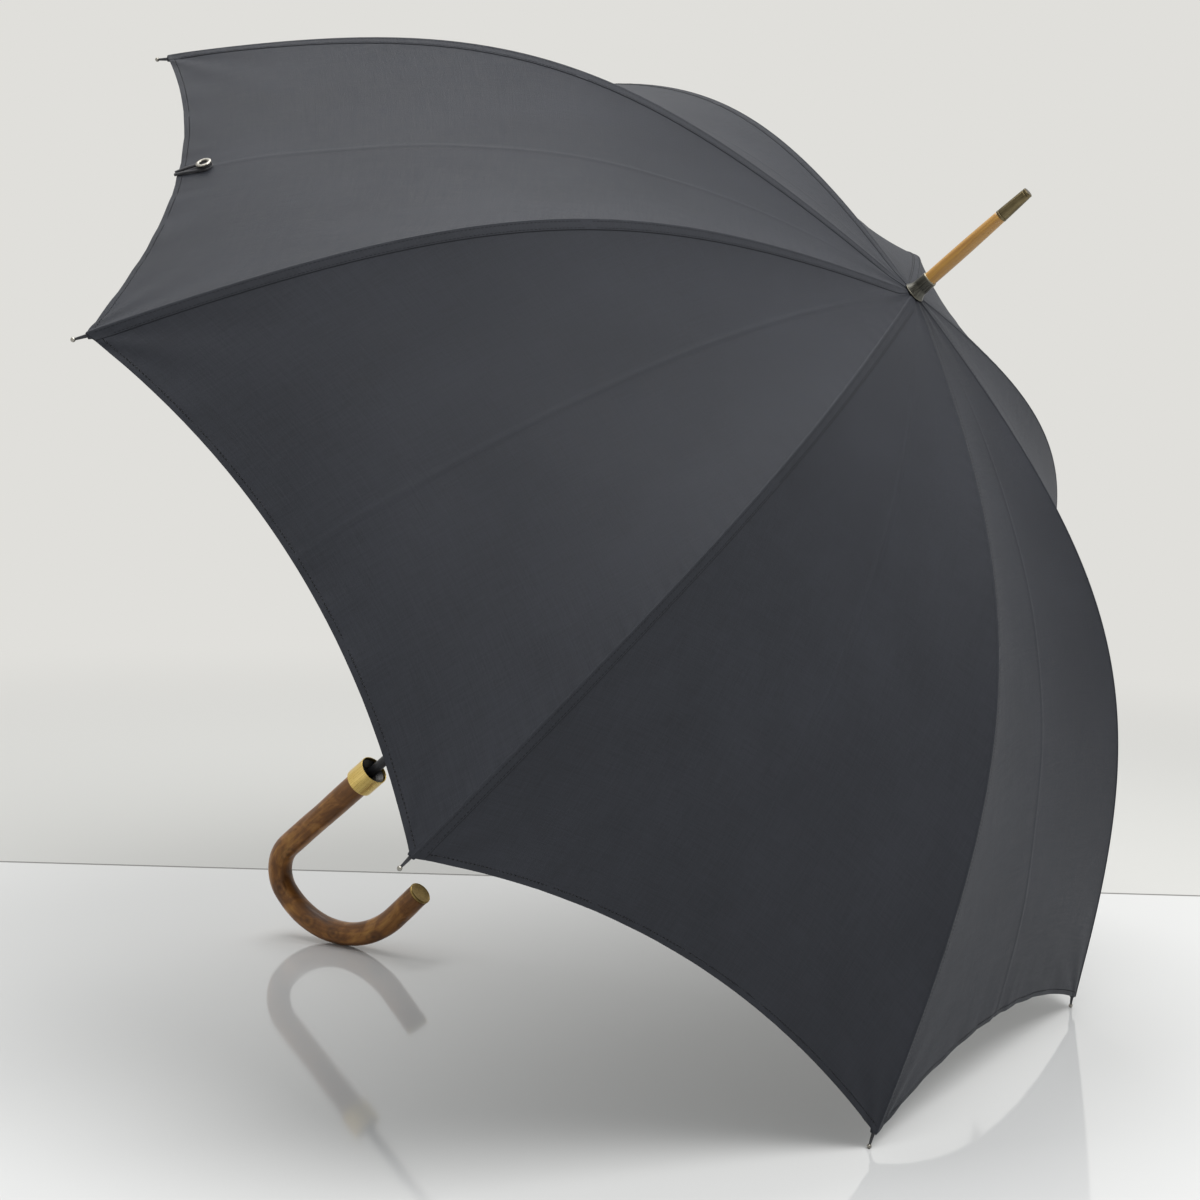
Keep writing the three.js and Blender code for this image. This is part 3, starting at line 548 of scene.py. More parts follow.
def slopes(surface, share, across, step=1e-4):
    """The outward normal of a surface(share, across)."""
    down = surface(share + step, across) - surface(share - step, across)
    over = surface(share, across + step) - surface(share, across - step)
    return unit(np.cross(down, over))


# Heights of the cloth's relief, in mm: the ironed crease down a gore's middle, puckers along the
# seams, folds that fan out from the corners, gathers at the crown, long and short waves all over,
# and waves and ripples at the hem.
CREASE, PUCKER, FAN, GATHER = 0.32, 0.2, 1.1, 0.5
LONG_WAVE, SHORT_WAVE, HEM_WAVE, HEM_RIPPLE = 0.8, 0.5, 0.5, 0.25


def relief(gore, share, across):
    """How far the cloth stands out from its taut shape; all lengths here are in mm."""
    half = np.maximum(half_width(share), 1.0)
    from_seam = half * (1 - np.abs(across))
    from_middle = half * across
    arc = share * LENGTH
    to_hem = np.maximum(LENGTH - arc, 0)
    side = np.where(across < 0, 0.0, 1.0)
    inside = 1 - across ** 2
    crease = CREASE * np.exp(-(from_middle / 2.0) ** 2) * np.clip(share * 6 - 0.5, 0, 1)
    pucker = (PUCKER * np.exp(-from_seam / 7) * (1 - np.exp(-from_seam / 1.5))
              * np.sin(arc / 2.3 + 1.7 * gore + 2.1 * side + 1.3 * np.sin(arc / 31)))
    reach = np.hypot(from_seam, to_hem * 0.8)
    bearing = np.arctan2(from_seam, to_hem + 8)
    fan = (FAN * np.exp(-reach / 55) * (1 - np.exp(-reach / 14))
           * np.sin(9 * bearing + 0.8 * gore + side))
    crown = (GATHER * np.exp(-arc / 30) * np.cos(math.pi * across * 2)
             * (1 - np.exp(-arc / 6)))
    long_waves = np.sin(arc / 47 + 1.9 * gore + 1.2 * across) * np.sin(math.pi * (across + 1) / 2)
    short_waves = np.sin(arc / 21 + 0.7 * gore - 2.4 * across) * inside
    soft = (LONG_WAVE * long_waves + SHORT_WAVE * short_waves) * share
    hem = inside * np.exp(-to_hem / 16) * (HEM_WAVE * np.sin(from_middle / 6.4 + gore)
                                           + HEM_RIPPLE * np.sin(from_middle / 2.7))
    return crease + (pucker + fan) * across ** 2 + crown + soft + hem


def cloth_surface(gore):
    """The cloth's outside over one gore, as a function of the shares down and across."""
    def surface(share, across):
        height = relief(gore, share, across)[..., None]
        return taut(share, across) + slopes(taut, share, across) * height
    return surface


def in_gore(points, gore):
    """Points in a gore's own plane, turned to the gore's place round the shaft."""
    return turned_about_shaft(points, rib_azimuth(gore) + HALF)


def layer(gore, share, across, depth):
    """Points, normals and cloth coordinates of a layer at a depth inside the cloth's outside."""
    surface = cloth_surface(gore)
    normals = slopes(surface, share, across)
    points = surface(share, across) - normals * np.asarray(depth)[..., None]
    half = half_width(share)
    lay = np.stack([half * across * MM, share * LENGTH * MM,
                    np.full(np.shape(share), gore * 0.37)], -1)
    return in_gore(points, gore), in_gore(normals, gore), lay


def sheet_shells(gore, shares, acrosses, top, bottom):
    """A closed sheet over a grid of shares and acrosses, between two depths, with crisp edges."""
    share, across = np.meshgrid(shares, acrosses, indexing="ij")
    rows, columns = share.shape
    outer, outward, lay = layer(gore, share, across, top + np.zeros_like(share))
    inner, inward, _ = layer(gore, share, across, bottom + np.zeros_like(share))
    shells = [
        (outer, grid_faces(rows, columns), {"normals": outward, "lay": lay}),
        (inner, grid_faces(rows, columns, flip=True), {"normals": -inward, "lay": lay}),
    ]
    rim = ([(r, 0) for r in range(rows)], [(rows - 1, c) for c in range(columns)],
           [(r, columns - 1) for r in range(rows - 1, -1, -1)],
           [(0, c) for c in range(columns - 1, -1, -1)])
    for line in rim:
        r, c = np.array(line).T
        wall = np.stack([outer[r, c], inner[r, c]], 1)
        along = np.gradient(outer[r, c], axis=0)
        normals = unit(np.cross(along, outward[r, c]))
        wall_lay = np.repeat(lay[r, c][:, None], 2, 1)
        shells.append((wall, grid_faces(len(line), 2, flip=True),
                       {"normals": np.repeat(normals[:, None], 2, 1), "lay": wall_lay}))
    return shells


STITCH_LENGTH, STITCH_WIDTH, STITCH_THICK = 1.9, 0.55, 0.3
STITCH_STEP = 2.7


def stitches(gore, shares, acrosses, height, along_hem):
    """Small thread capsules on the cloth, one at each place, along the hem or along the ridge."""
    surface = cloth_surface(gore)
    at = surface(shares, acrosses)
    normal = slopes(surface, shares, acrosses)
    step = 1e-3
    if along_hem:
        ahead = unit(surface(shares, acrosses + step) - at)
    else:
        ahead = unit(surface(shares + step, acrosses) - at)
    sideways = np.cross(normal, ahead)
    rings = [(-0.5, 0.25), (-0.38, 0.8), (0, 1.0), (0.38, 0.8), (0.5, 0.25)]
    section = [(math.cos(a), math.sin(a)) for a in circle(6)]
    points = np.stack([
        at + ahead * STITCH_LENGTH * place + sideways * STITCH_WIDTH / 2 * size * x
        + normal * (height + STITCH_THICK / 2 * size * y)
        for place, size in rings for x, y in section
    ], 1)
    faces = grid_faces(len(rings), len(section), ring=True).tolist()
    caps = [[5, 4, 3, 2], [5, 2, 1, 0], [24, 25, 26, 27], [24, 27, 28, 29]]  # two quads an end
    each = np.array(faces + caps)
    count = len(rings) * len(section)
    every = (each[None] + np.arange(len(at))[:, None, None] * count).reshape(-1, 4)
    points = in_gore(points.reshape(-1, 3), gore)
    centre = np.repeat(in_gore(at + normal * height, gore), count, 0)
    return points, every, {"normals": unit(points - centre), "finish": 1}


# ---- Canopy: each gore in two halves, each in two lengths, which fold up with their ribs ----

HEM_WIDTH = 6.0
HEM_STITCHES = 4.6  # mm from the hem


def crowded(count, share):
    """Shares from 0 to 1 that crowd together at both ends."""
    t = np.linspace(0, 1, count)
    return t - share * np.sin(math.tau * t) / math.tau


# How each half-gore is to flatten when the umbrella shuts, though no code here flattens it: how far
# its direction leans out of the rib's side, and how far it turns along the rib, in degrees, and
# where it passes the rib, in mm.
FOLDS = {"inner": (0.0, FLEX, 10.0, -0.55, 1.3), "outer": (FLEX, 1.0, 24.0, 0.45, -1.4)}


def fold_up(made, band):
    """Gives a half-gore its own copy of its mesh and reads its band's fold values, but does not
    flatten it as the umbrella shuts.
    """
    low, high, lean, twist, offset = FOLDS[band]
    lean, twist = math.radians(lean), math.radians(twist)
    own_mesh(made)


def cloth_body(rib, band):
    """The body that carries a length of cloth: the rib, or its end beyond the bend."""
    return f"rib_{rib}" if band == "inner" else f"rib_end_{rib}"


def half_gore(gore, side, band):
    """One half of a gore, on the side of its rib, from the crown to the bend or on to the hem."""
    rib = gore if side < 0 else gore % RIBS + 1
    acrosses = (crowded(25, 0.72) * side)[::side]
    if band == "inner":
        shares = np.concatenate([[0, 0.004, 0.01], np.linspace(0.018, FLEX, 66)])
        shells = sheet_shells(gore, shares, acrosses, 0, CLOTH)
        flap = np.linspace(FLEX - 0.02, FLEX + 0.03, 9)
        shells += sheet_shells(gore, flap, acrosses[1:-1], CLOTH + 0.05, 2 * CLOTH + 0.05)
    else:
        hem = 1 - HEM_WIDTH / LENGTH * np.linspace(1, 0, 7)
        shares = np.concatenate([np.linspace(FLEX, hem[0], 74)[:-1], hem])
        shells = sheet_shells(gore, shares, acrosses, 0, CLOTH)
        turned_in = 1 - HEM_WIDTH / LENGTH * np.linspace(1, 0.02, 6)
        shells += sheet_shells(gore, turned_in, acrosses, CLOTH + 0.02, 2 * CLOTH + 0.1)
        half = half_width(1.0)
        spots = np.arange(3, half - 3, STITCH_STEP) / half * side
        row = np.full(len(spots), 1 - HEM_STITCHES / LENGTH)
        shells.append(stitches(gore, row, spots, 0.1, True))
    name = f"canopy_{band}_{gore}_{'left' if side < 0 else 'right'}"
    made = piece(name, shells, [cloth, thread], cloth_body(rib, band), f"panel_{gore}")
    fold_up(made, band)


# ---- Felled seams over the ribs: sections of (offset, height) from the ridge, in mm ----

SEAM_WIDTH = 8.0
SEAM_EDGE_SHADE = 0.7  # mm of the fold's outer edge that takes the thread's dark finish: painted shade along the fold's edge
SEAM_UNDER = CLOTH + 0.02
SEAM_FOLD = [(-1.3, 0.02), (-0.9, 0.3), (0, 0.42), (1, 0.4), (SEAM_WIDTH / 2, 0.34),
             (SEAM_WIDTH - 0.6, 0.36), (SEAM_WIDTH - 0.1, 0.28), (SEAM_WIDTH, 0.02),
             (SEAM_WIDTH - 0.6, -0.2), (0, -0.2), (-0.9, -0.1)]
SEAM_TAPE = [(-7, -SEAM_UNDER), (0, -SEAM_UNDER - 0.05), (7, -SEAM_UNDER),
             (6.6, -SEAM_UNDER - 0.3), (0, -SEAM_UNDER - 0.35), (-6.6, -SEAM_UNDER - 0.3)]


def seam_point(rib, arc, offset, height):
    """A point beside the ridge: offset across, towards the next gore, and height off the cloth."""
    share = arc / LENGTH
    before = rib - 1 if rib > 1 else RIBS
    near = np.clip(np.abs(offset) / np.maximum(half_width(share), 1), 0, 0.9)
    theirs, ours = (layer(gore, share, sign * (1 - near), np.zeros_like(share))
                    for gore, sign in ((before, 1), (rib, -1)))
    on_ours = (offset >= 0)[..., None]
    base = np.where(on_ours, ours[0], theirs[0])
    blend = np.clip(0.5 + offset / 3.0, 0, 1)[..., None]
    normals = unit(theirs[1] * (1 - blend) + ours[1] * blend)
    return base + normals * height[..., None], np.where(on_ours, ours[2], theirs[2])


def strip(rib, arcs, section):
    """A shell along the ridge, whose section is a closed list of (offset, height)."""
    offsets, heights = np.array(section, float).T
    arc, offset = np.meshgrid(arcs, offsets, indexing="ij")
    points, lay = seam_point(rib, arc, offset, np.broadcast_to(heights, arc.shape))
    # The fold's outer edge takes the thread's dark finish: painted shade along the fold's edge.
    dark = np.minimum(offsets, np.roll(offsets, -1)) > SEAM_WIDTH - SEAM_EDGE_SHADE
    kinds = np.concatenate([np.tile(dark, len(arcs) - 1), [False, False]]).astype(int)
    return points, tube_faces(*arc.shape), {"lay": lay, "finish": kinds}


def seam(rib, band):
    """The seam's fold on the cloth with two rows of stitches, and the tape under it."""
    start, end = (2.0, FLEX_ARC) if band == "inner" else (FLEX_ARC, LENGTH - 0.6)
    arcs = np.linspace(start, end, 74)
    shells = [strip(rib, arcs, section) for section in (SEAM_FOLD, SEAM_TAPE)]
    for offset in (1.5, SEAM_WIDTH - 1.6):
        spots = np.arange(start + 6, end - 4, STITCH_STEP)
        half = half_width(spots / LENGTH)
        clear = half > SEAM_WIDTH + 2
        spots, half = spots[clear], half[clear]
        shells.append(stitches(rib, spots / LENGTH, -(1 - offset / half), 0.4, False))
    body = cloth_body(rib, band)
    piece(f"seam_{band}_{rib}", shells, [cloth, thread], body, smooth=50)


# ---- Rib tips with the cloth's corner tabs ----

TIP_ARC, TIP_BELOW = 6, 3
TIP_OUT, TIP_DOWN = 3.6, 7.9


def tip_line():
    """The tip's start and its ball's centre, in the rib's plane."""
    point, along = ridge(1 - TIP_ARC / LENGTH)
    start = point + np.array([along[1], -along[0]]) * TIP_BELOW
    return start, np.array([RIB_REACH + TIP_OUT, -RIB_DROP - TIP_DOWN])


def along_tip(points, azimuth):
    """Points turned about Z from 0 upwards, laid along the tip of the rib at an azimuth."""
    start, ball = tip_line()
    ahead = unit(ball - start)
    points = np.asarray(points, float)
    rise = np.array([-ahead[1], ahead[0]])
    placed = np.stack([
        start[0] + ahead[0] * points[:, 2] + rise[0] * points[:, 0],
        points[:, 1],
        start[1] + ahead[1] * points[:, 2] + rise[1] * points[:, 0],
    ], -1)
    return turned_about_shaft(placed, azimuth)


TIP_RADIUS, TIP_NECK, TIP_SLEEVE = 1.62, 0.85, 1.42


def rib_tip(rib):
    start, ball = tip_line()
    length = float(np.linalg.norm(ball - start))
    neck_end = length - 1.2
    sleeve = rounded([(0, 0), (TIP_SLEEVE, 0), (TIP_SLEEVE, 0.36 * length), (1.25, 0.4 * length),
                      (TIP_NECK, neck_end - 0.5), (TIP_NECK, neck_end), (0, neck_end)], 0.2)
    turn = np.linspace(-math.acos(TIP_NECK / TIP_RADIUS), math.pi / 2, 20)
    cap = [(TIP_RADIUS * math.cos(a), length + TIP_RADIUS * math.sin(a)) for a in turn[:-1]]
    cap = [(0, cap[0][1])] + cap + [(0, length + TIP_RADIUS)]
    shells = []
    for finish, profile in enumerate((sleeve, cap)):
        points, faces = lathe(profile, 32)
        points = along_tip(points, rib_azimuth(rib))
        shells.append((points, turned_over(faces), {"finish": finish}))
    piece(f"tip_{rib}", shells, [black_steel, nickel], f"rib_end_{rib}",
          f"rib_tip_{rib}", 40)


# The corner tab's sections: height along the tip, half width and half thickness, in mm.
TAB_SECTIONS = [(-3.4, 0.4, 0.4), (-3.0, 2.4, 1.5), (-2.0, 3.3, 1.9), (0.5, 3.5, 2.1),
                (3.0, 3.2, 2.1), (5.2, 2.6, 1.95), (5.7, 2.3, 1.8), (5.8, 1.5, 1.5)]


def corner_tab(rib):
    """A folded pocket of cloth over the rib's end, from which the tip comes out."""
    sides = 28
    c, s = np.cos(circle(sides)), np.sin(circle(sides))
    x, y = (np.sign(v) * np.abs(v) ** 0.8 for v in (c, s))
    points = np.concatenate([np.stack([thick * x, wide * y, np.full(sides, height)], -1)
                             for height, wide, thick in TAB_SECTIONS])
    shell = (along_tip(points, rib_azimuth(rib)), tube_faces(len(TAB_SECTIONS), sides), {})
    piece(f"corner_tab_{rib}", [shell], [cloth], f"rib_end_{rib}", smooth=60)


# ---- Closure: an elastic loop from the hem to a ring button, on the first gore ----

STRAP_LIFT = 0.5
CORD = 1.1
BUTTON_INSET = 20
BUTTON_RADIUS, BUTTON_FOOT, BUTTON_WAIST = 5.6, 5, 3.3
BUTTON_PLATE, BUTTON_HEAD, BUTTON_HEIGHT = 0.5, 0.9, 4.2
RING_HEIGHT, RING_HOLE = 1.4, 2.8
GAP = 0.3


CAD_ROWS, CAD_CROWDING = 16, 0.07  # of a panel's facets, on whose last row the button sits


def closure_frame():
    """The hem's middle, and the directions up the gore, across it and out of its cloth."""
    hem = taut(np.array(1.0), np.array(0.0))
    last = 1 - 1 / CAD_ROWS
    row = taut(np.array(last + CAD_CROWDING * math.sin(math.tau * last)), np.array(0.0))
    up = unit(row - hem)
    across = np.array([0.0, 1.0, 0.0])
    return hem, up, across, np.cross(across, up)


HEM_MIDDLE, UP_GORE, ACROSS_GORE, OUT_OF_GORE = closure_frame()


def at_closure(up, across, out):
    """A place near the button: up the gore from the hem, across, and out of the cloth, in mm."""
    place = HEM_MIDDLE + UP_GORE * up + ACROSS_GORE * across + OUT_OF_GORE * (out + STRAP_LIFT)
    return in_gore(place, 1)


def loop_route():
    """The cord's route from the hem, up round the button's waist, and back to the hem."""
    level = BUTTON_PLATE + GAP + CORD
    around = BUTTON_WAIST + CORD + GAP
    route = [at_closure(-1.5, -1.6, CORD), at_closure(7, -3.2, level)]
    for angle in np.linspace(-math.pi / 2, math.pi / 2, 7):
        up = BUTTON_INSET + around * math.cos(angle)
        route.append(at_closure(up, around * math.sin(angle), level))
    return route + [at_closure(7, 3.2, level), at_closure(-1.5, 1.6, CORD)]


def smooth_route(points, steps):
    """A Catmull-Rom curve through the points, with as many steps on each span."""
    points = np.array(points)
    padded = np.concatenate([[2 * points[0] - points[1]], points, [2 * points[-1] - points[-2]]])
    made = []
    for a, b, c, d in zip(padded, padded[1:], padded[2:], padded[3:]):
        for i in range(steps):
            t = i / steps
            made.append(0.5 * (2 * b + (c - a) * t + (2 * a - 5 * b + 4 * c - d) * t ** 2
                               + (3 * b - a - 3 * c + d) * t ** 3))
    return np.array(made + [points[-1]])


def elastic_loop():
    path = smooth_route(loop_route(), 10)
    ahead = unit(np.gradient(path, axis=0))
    out = in_gore(OUT_OF_GORE, 1)
    side = unit(np.cross(ahead, out))
    lift = np.cross(side, ahead)
    angles = circle(20)
    travel = walked(path)
    radius = CORD * 0.96
    points = (path[:, None] + radius * (side[:, None] * np.cos(angles)[None, :, None]
                                        + lift[:, None] * np.sin(angles)[None, :, None]))
    lay = np.stack(np.broadcast_arrays(angles[None, :], 0.0, (travel * MM)[:, None]), -1)
    faces = tube_faces(len(path), len(angles))
    made = piece("elastic_loop", [(points, faces, {"lay": lay})], [elastic], "closure",
                 "closure_loop", 50)


def on_button(points):
    """Points turned about Z, seated on the cloth at the button."""
    points = np.asarray(points, float)
    x_axis = np.cross(ACROSS_GORE, OUT_OF_GORE)
    place = (HEM_MIDDLE + UP_GORE * BUTTON_INSET + OUT_OF_GORE * STRAP_LIFT
             + points[:, :1] * x_axis + points[:, 1:2] * ACROSS_GORE + points[:, 2:] * OUT_OF_GORE)
    return in_gore(place, 1)


def button():
    top = BUTTON_HEIGHT - GAP
    profile = rounded([(0, 0), (BUTTON_FOOT, 0), (BUTTON_FOOT, BUTTON_PLATE),
                       (BUTTON_WAIST, BUTTON_PLATE), (BUTTON_WAIST, top - BUTTON_HEAD),
                       (BUTTON_RADIUS, top - BUTTON_HEAD), (BUTTON_RADIUS, top), (0, top)], 0.25)
    turned_piece("button", profile, black_plastic, "closure_button",
                 sides=64, smooth=40, body="closure", lay_on=on_button)
    centre = (RING_HOLE + BUTTON_RADIUS) / 2
    wide = (BUTTON_RADIUS - RING_HOLE) / 2
    section = [(centre + wide * math.cos(a), BUTTON_HEIGHT + RING_HEIGHT / 2 * (1 + math.sin(a)))
               for a in circle(20)]
    turned_piece("button_ring", section, nickel, "closure_ring",
                 sides=64, smooth=60, body="closure", lay_on=on_button)


# ---- Crown cap, spike and ferrule ----

SHAFT = 4.1
CAP_NECK, CAP_RIM, CAP_HEIGHT, CAP_BASE = 5.9, 8.05, 14, 2.15
CAP_BEAD, CAP_EDGE, CAP_FLOOR = 0.42, 0.62, 4.0
SPIKE_BASE, SPIKE_FOOT, SPIKE_START, SPIKE_END = 5.1, 4.3, 14.3, 79.5
SPIKE_SWELL = 0.3
PEG_WIDE, PEG_NARROW, PEG_START, PEG_END = 4.0, 3.2, 80.3, 100.3
FERRULE_START, FERRULE_RIM, FERRULE_TIP = 80, 4.65, 3.75
FERRULE_BORE, FERRULE_FLOOR = 4.1, 3.4  # radii at its mouth and at its end


def crown_pieces():
    """The cap with its flared and beaded rim, the spike with its peg, and the grooved ferrule."""
    bead = [(CAP_RIM - CAP_BEAD + CAP_BEAD * math.cos(a), -CAP_BASE + CAP_EDGE * (1 + math.sin(a)))
            for a in np.linspace(-math.pi / 2, math.pi / 2, 9)]
    flare = [(CAP_NECK + (CAP_RIM - 0.5 - CAP_NECK) * (1 - t) ** 2.2, -CAP_BASE + 1.5 + 6.4 * t)
             for t in np.linspace(0, 1, 14)]
    lip = [(CAP_NECK, CAP_HEIGHT - 1.2), (CAP_NECK - 0.06, CAP_HEIGHT - 0.35),
           (CAP_NECK - 0.3, CAP_HEIGHT), (SPIKE_BASE + 0.1, CAP_HEIGHT)]
    inside = [(SPIKE_BASE + 0.1, CAP_FLOOR), (SHAFT + 0.3, CAP_FLOOR),
              (SHAFT + 0.3, -CAP_BASE + 0.02)]
    cap = bead + flare + lip + inside
    turned_piece("crown_cap_shell", cap, gunmetal, "crown_cap")
    heights = np.linspace(SPIKE_START, SPIKE_END, 40)
    share = (heights - SPIKE_START) / (SPIKE_END - SPIKE_START)
    radii = np.interp(share, [0, 1], [SPIKE_BASE - 0.08, FERRULE_RIM - 0.2])
    radii = radii + SPIKE_SWELL * np.sin(math.pi * share)
    spike = [(0, SPIKE_FOOT), (SPIKE_BASE - 0.15, SPIKE_FOOT), *zip(radii, heights),
             (PEG_WIDE, PEG_START), (PEG_NARROW, PEG_END), (0, PEG_END)]
    turned_piece("wooden_spike", spike, spike_wood, "spike")
    low, top = FERRULE_START, FERRULE_END
    ferrule = rounded([(0, top - 4.7), (FERRULE_FLOOR, top - 4.7), (FERRULE_BORE, low + 0.2),
                       (FERRULE_BORE + 0.05, low), (FERRULE_RIM, low), (FERRULE_RIM, low + 1.3),
                       (FERRULE_RIM - 0.22, low + 1.5), (FERRULE_RIM - 0.22, low + 1.9),
                       (FERRULE_RIM - 0.1, low + 2.1), (FERRULE_TIP + 0.08, top - 2.6),
                       (FERRULE_TIP - 0.15, top - 2.4), (FERRULE_TIP - 0.12, top - 2.0),
                       (FERRULE_TIP, top - 1.8), (FERRULE_TIP, top - 0.4),
                       (FERRULE_TIP - 0.4, top - 0.02), (0, top - 0.02)], 0.14)
    turned_piece("ferrule_shell", ferrule, bronze, "ferrule")


# ---- Collar, its liner, the crook and the disc on its end ----

HANDLE, HANDLE_END = 10.7, 10.0
COLLAR, COLLAR_WALL, COLLAR_HEIGHT = 12.95, 0.7, 20
STRAIGHT_LEG, TIGHT_BEND, WIDE_BEND, END_LEG = 96, 29, 79, 34
END_LEAN = math.radians(3)
RIM = float(node_points("collar")[:, 2].max())
HANDLE_TOP = RIM - 14
SHOULDER = COLLAR - COLLAR_WALL - GAP
SHOULDER_LENGTH = 4.4
FUNNEL_RIM, FUNNEL_DEPTH, FUNNEL_FLOOR = 2.2, 6.7, 7.1  # below the collar's rim, and a radius
BEND_START = RIM - COLLAR_HEIGHT - STRAIGHT_LEG


def crook_line():
    """The crook's length, and a function of the length for its centre line's point and angle."""
    leg = HANDLE_TOP - BEND_START
    tight = TIGHT_BEND * math.pi / 2
    wide = WIDE_BEND * (math.pi / 2 + END_LEAN)
    total = leg + tight + wide + END_LEG

    def at(length):
        length = np.asarray(length, float)
        first = np.clip(length, None, leg)
        second = np.clip(length - leg, 0, tight) / TIGHT_BEND
        third = np.clip(length - leg - tight, 0, wide) / WIDE_BEND
        last = np.clip(length - leg - tight - wide, 0, None)
        turn = second + third
        x = (TIGHT_BEND * (1 - np.cos(second))
             + WIDE_BEND * (np.cos(second) - np.cos(turn)) * (third > 0))
        z = (HANDLE_TOP - first - TIGHT_BEND * np.sin(second)
             + WIDE_BEND * (np.sin(second) - np.sin(turn)) * (third > 0))
        direction = turn - math.pi / 2
        point = np.stack([x + last * np.cos(direction), z + last * np.sin(direction)], -1)
        return point, direction

    return total, at


CROOK_LENGTH, CROOK_AT = crook_line()


def along_crook(points):
    """Points turned about Z from the handle's top, laid along the crook."""
    points = np.asarray(points, float).reshape(-1, 3)
    centre, direction = CROOK_AT(points[:, 2])
    return np.stack([centre[:, 0] - points[:, 0] * np.sin(direction), -points[:, 1],
                     centre[:, 1] + points[:, 0] * np.cos(direction)], -1)


def waves(angle, length, seed, around, along, count):
    """Smooth irregular waves over the handle: a sum of seeded sines, from about -1 to 1."""
    draws = np.random.default_rng(seed)
    total = np.zeros(np.broadcast(angle, length).shape)
    for _ in range(count):
        turns = draws.integers(0, around + 1)
        pitch = math.tau / draws.uniform(along, 3 * along)
        way = draws.choice([-1, 1])
        total += np.sin(turns * angle + way * pitch * length + draws.uniform(0, math.tau))
    return total / math.sqrt(count)


# Waves on the bark: height in mm, seed, most turns around, shortest length in mm, and how many.
BARK_WAVES = [(0.22, 3, 3, 45, 7), (0.07, 5, 14, 26, 12), (0.03, 9, 40, 12, 16)]
KNOTS, KNOT_SEED = 8, 21
UNDER_CAD = 0.12  # mm, how far the bark's highest places stay below the CAD's surface
LIMIT_SHARPNESS = 6  # per mm, of the soft limit that keeps them there


def bark_crook():
    """The crook's bark: waves and knots under a soft limit, below a turned shoulder."""
    sides, rows = 112, 620
    lengths = np.concatenate([[0, 0.3, SHOULDER_LENGTH - 0.4, SHOULDER_LENGTH],
                              np.linspace(SHOULDER_LENGTH + 0.05, CROOK_LENGTH - 0.8, rows),
                              [CROOK_LENGTH - 0.35, CROOK_LENGTH]])
    angle, length = np.meshgrid(circle(sides), lengths)
    taper = HANDLE + (HANDLE_END - HANDLE) * length / CROOK_LENGTH
    radius = taper - 0.3
    for height, *wave in BARK_WAVES:
        radius = radius + height * waves(angle, length, *wave)
    knot = np.zeros_like(radius)
    draws = np.random.default_rng(KNOT_SEED)
    for place in np.linspace(36, CROOK_LENGTH - 30, KNOTS):
        middle = place + draws.uniform(-10, 10)
        facing = draws.uniform(0, math.tau)
        size = draws.uniform(3.0, 4.6)
        around = np.angle(np.exp(1j * (angle - facing))) * radius
        reach = np.hypot(around, (length - middle) * 0.7) / size
        swelling, pit = np.exp(-reach ** 2 * 1.6), np.exp(-(reach - 0.05) ** 2 * 9)
        groove = np.exp(-(reach - 1.3) ** 2 * 10)
        radius = radius + 0.75 * swelling - 0.42 * pit - 0.16 * groove
        heart, halo = np.exp(-(reach - 0.1) ** 2 * 5), np.exp(-(reach - 1.2) ** 2 * 14)
        knot = np.maximum(knot, heart + 0.6 * halo)
    limit = taper - UNDER_CAD
    over = np.logaddexp(0, (limit - radius) * LIMIT_SHARPNESS)
    radius = np.minimum(limit - (over - math.log(2)) / LIMIT_SHARPNESS, limit)
    radius[length < SHOULDER_LENGTH + 0.02] = SHOULDER - 0.1
    radius[-1] -= 0.6
    radius[-2] -= 0.15
    points = np.stack([radius * np.cos(angle), radius * np.sin(angle), length], -1)
    lay = np.stack([10 * np.cos(angle), 10 * np.sin(angle), length], -1) * MM
    shell = (along_crook(points), tube_faces(len(lengths), sides), {"lay": lay})
    piece("bark_crook", [shell], [handle_wood], "root", "crook_handle", 50,
          [("knot", knot.ravel())])


def end_disc():
    """The disc on the crook's end, with a low rim round its flat face."""
    disc = rounded([(0, 0), (HANDLE_END - 0.1, 0), (HANDLE_END - 0.05, 1.5),
                    (HANDLE_END - 0.7, 2.15), (HANDLE_END - 1.3, 2.15),
                    (HANDLE_END - 1.5, 1.95), (0, 1.9)], 0.2)
    points, faces = lathe(disc)
    points[:, 2] += CROOK_LENGTH + GAP
    shell = (along_crook(points), turned_over(faces), {})
    piece("end_disc", [shell], [old_brass], "root", "crook_end_disc", 35)


def collar_pieces():
    """The collar round the crook's shoulder, and the funnel in it that the shaft comes out of."""
    inner, bottom = COLLAR - COLLAR_WALL, RIM - COLLAR_HEIGHT
    lip = HANDLE_TOP - SHOULDER_LENGTH - GAP
    hole = HANDLE + 0.1
    collar = rounded([(hole, bottom + 0.02), (COLLAR - 0.1, bottom + 0.02),
                      (COLLAR, bottom + 0.8), (COLLAR - 0.03, RIM - 0.8),
                      (COLLAR - 0.05, RIM - 0.02), (inner + 0.05, RIM - 0.02),
                      (inner, RIM - 0.6), (inner, lip), (hole, lip)], 0.3)
    turned_piece("collar_shell", collar, brass, "collar", sides=128)
    bore, low, floor = SHAFT + 0.35, HANDLE_TOP + GAP, RIM - FUNNEL_DEPTH
    funnel = rounded([(bore, low), (SHOULDER, low), (SHOULDER, RIM - FUNNEL_RIM),
                      (SHOULDER - 0.8, RIM - FUNNEL_RIM), (FUNNEL_FLOOR, floor),
                      (bore, floor)], 0.25)
    turned_piece("collar_funnel", funnel, black_plastic, "collar_liner", sides=128)


# ---- CAD pieces that stay: their finishes, and normals that are smooth over round stretches ----


def read(items, label, kind, width=1):
    """One property of all of a mesh's items, a row for each where it is a vector."""
    values = np.empty(len(items) * width, kind)
    items.foreach_get(label, values)
    return values.reshape(-1, width) if width > 1 else values


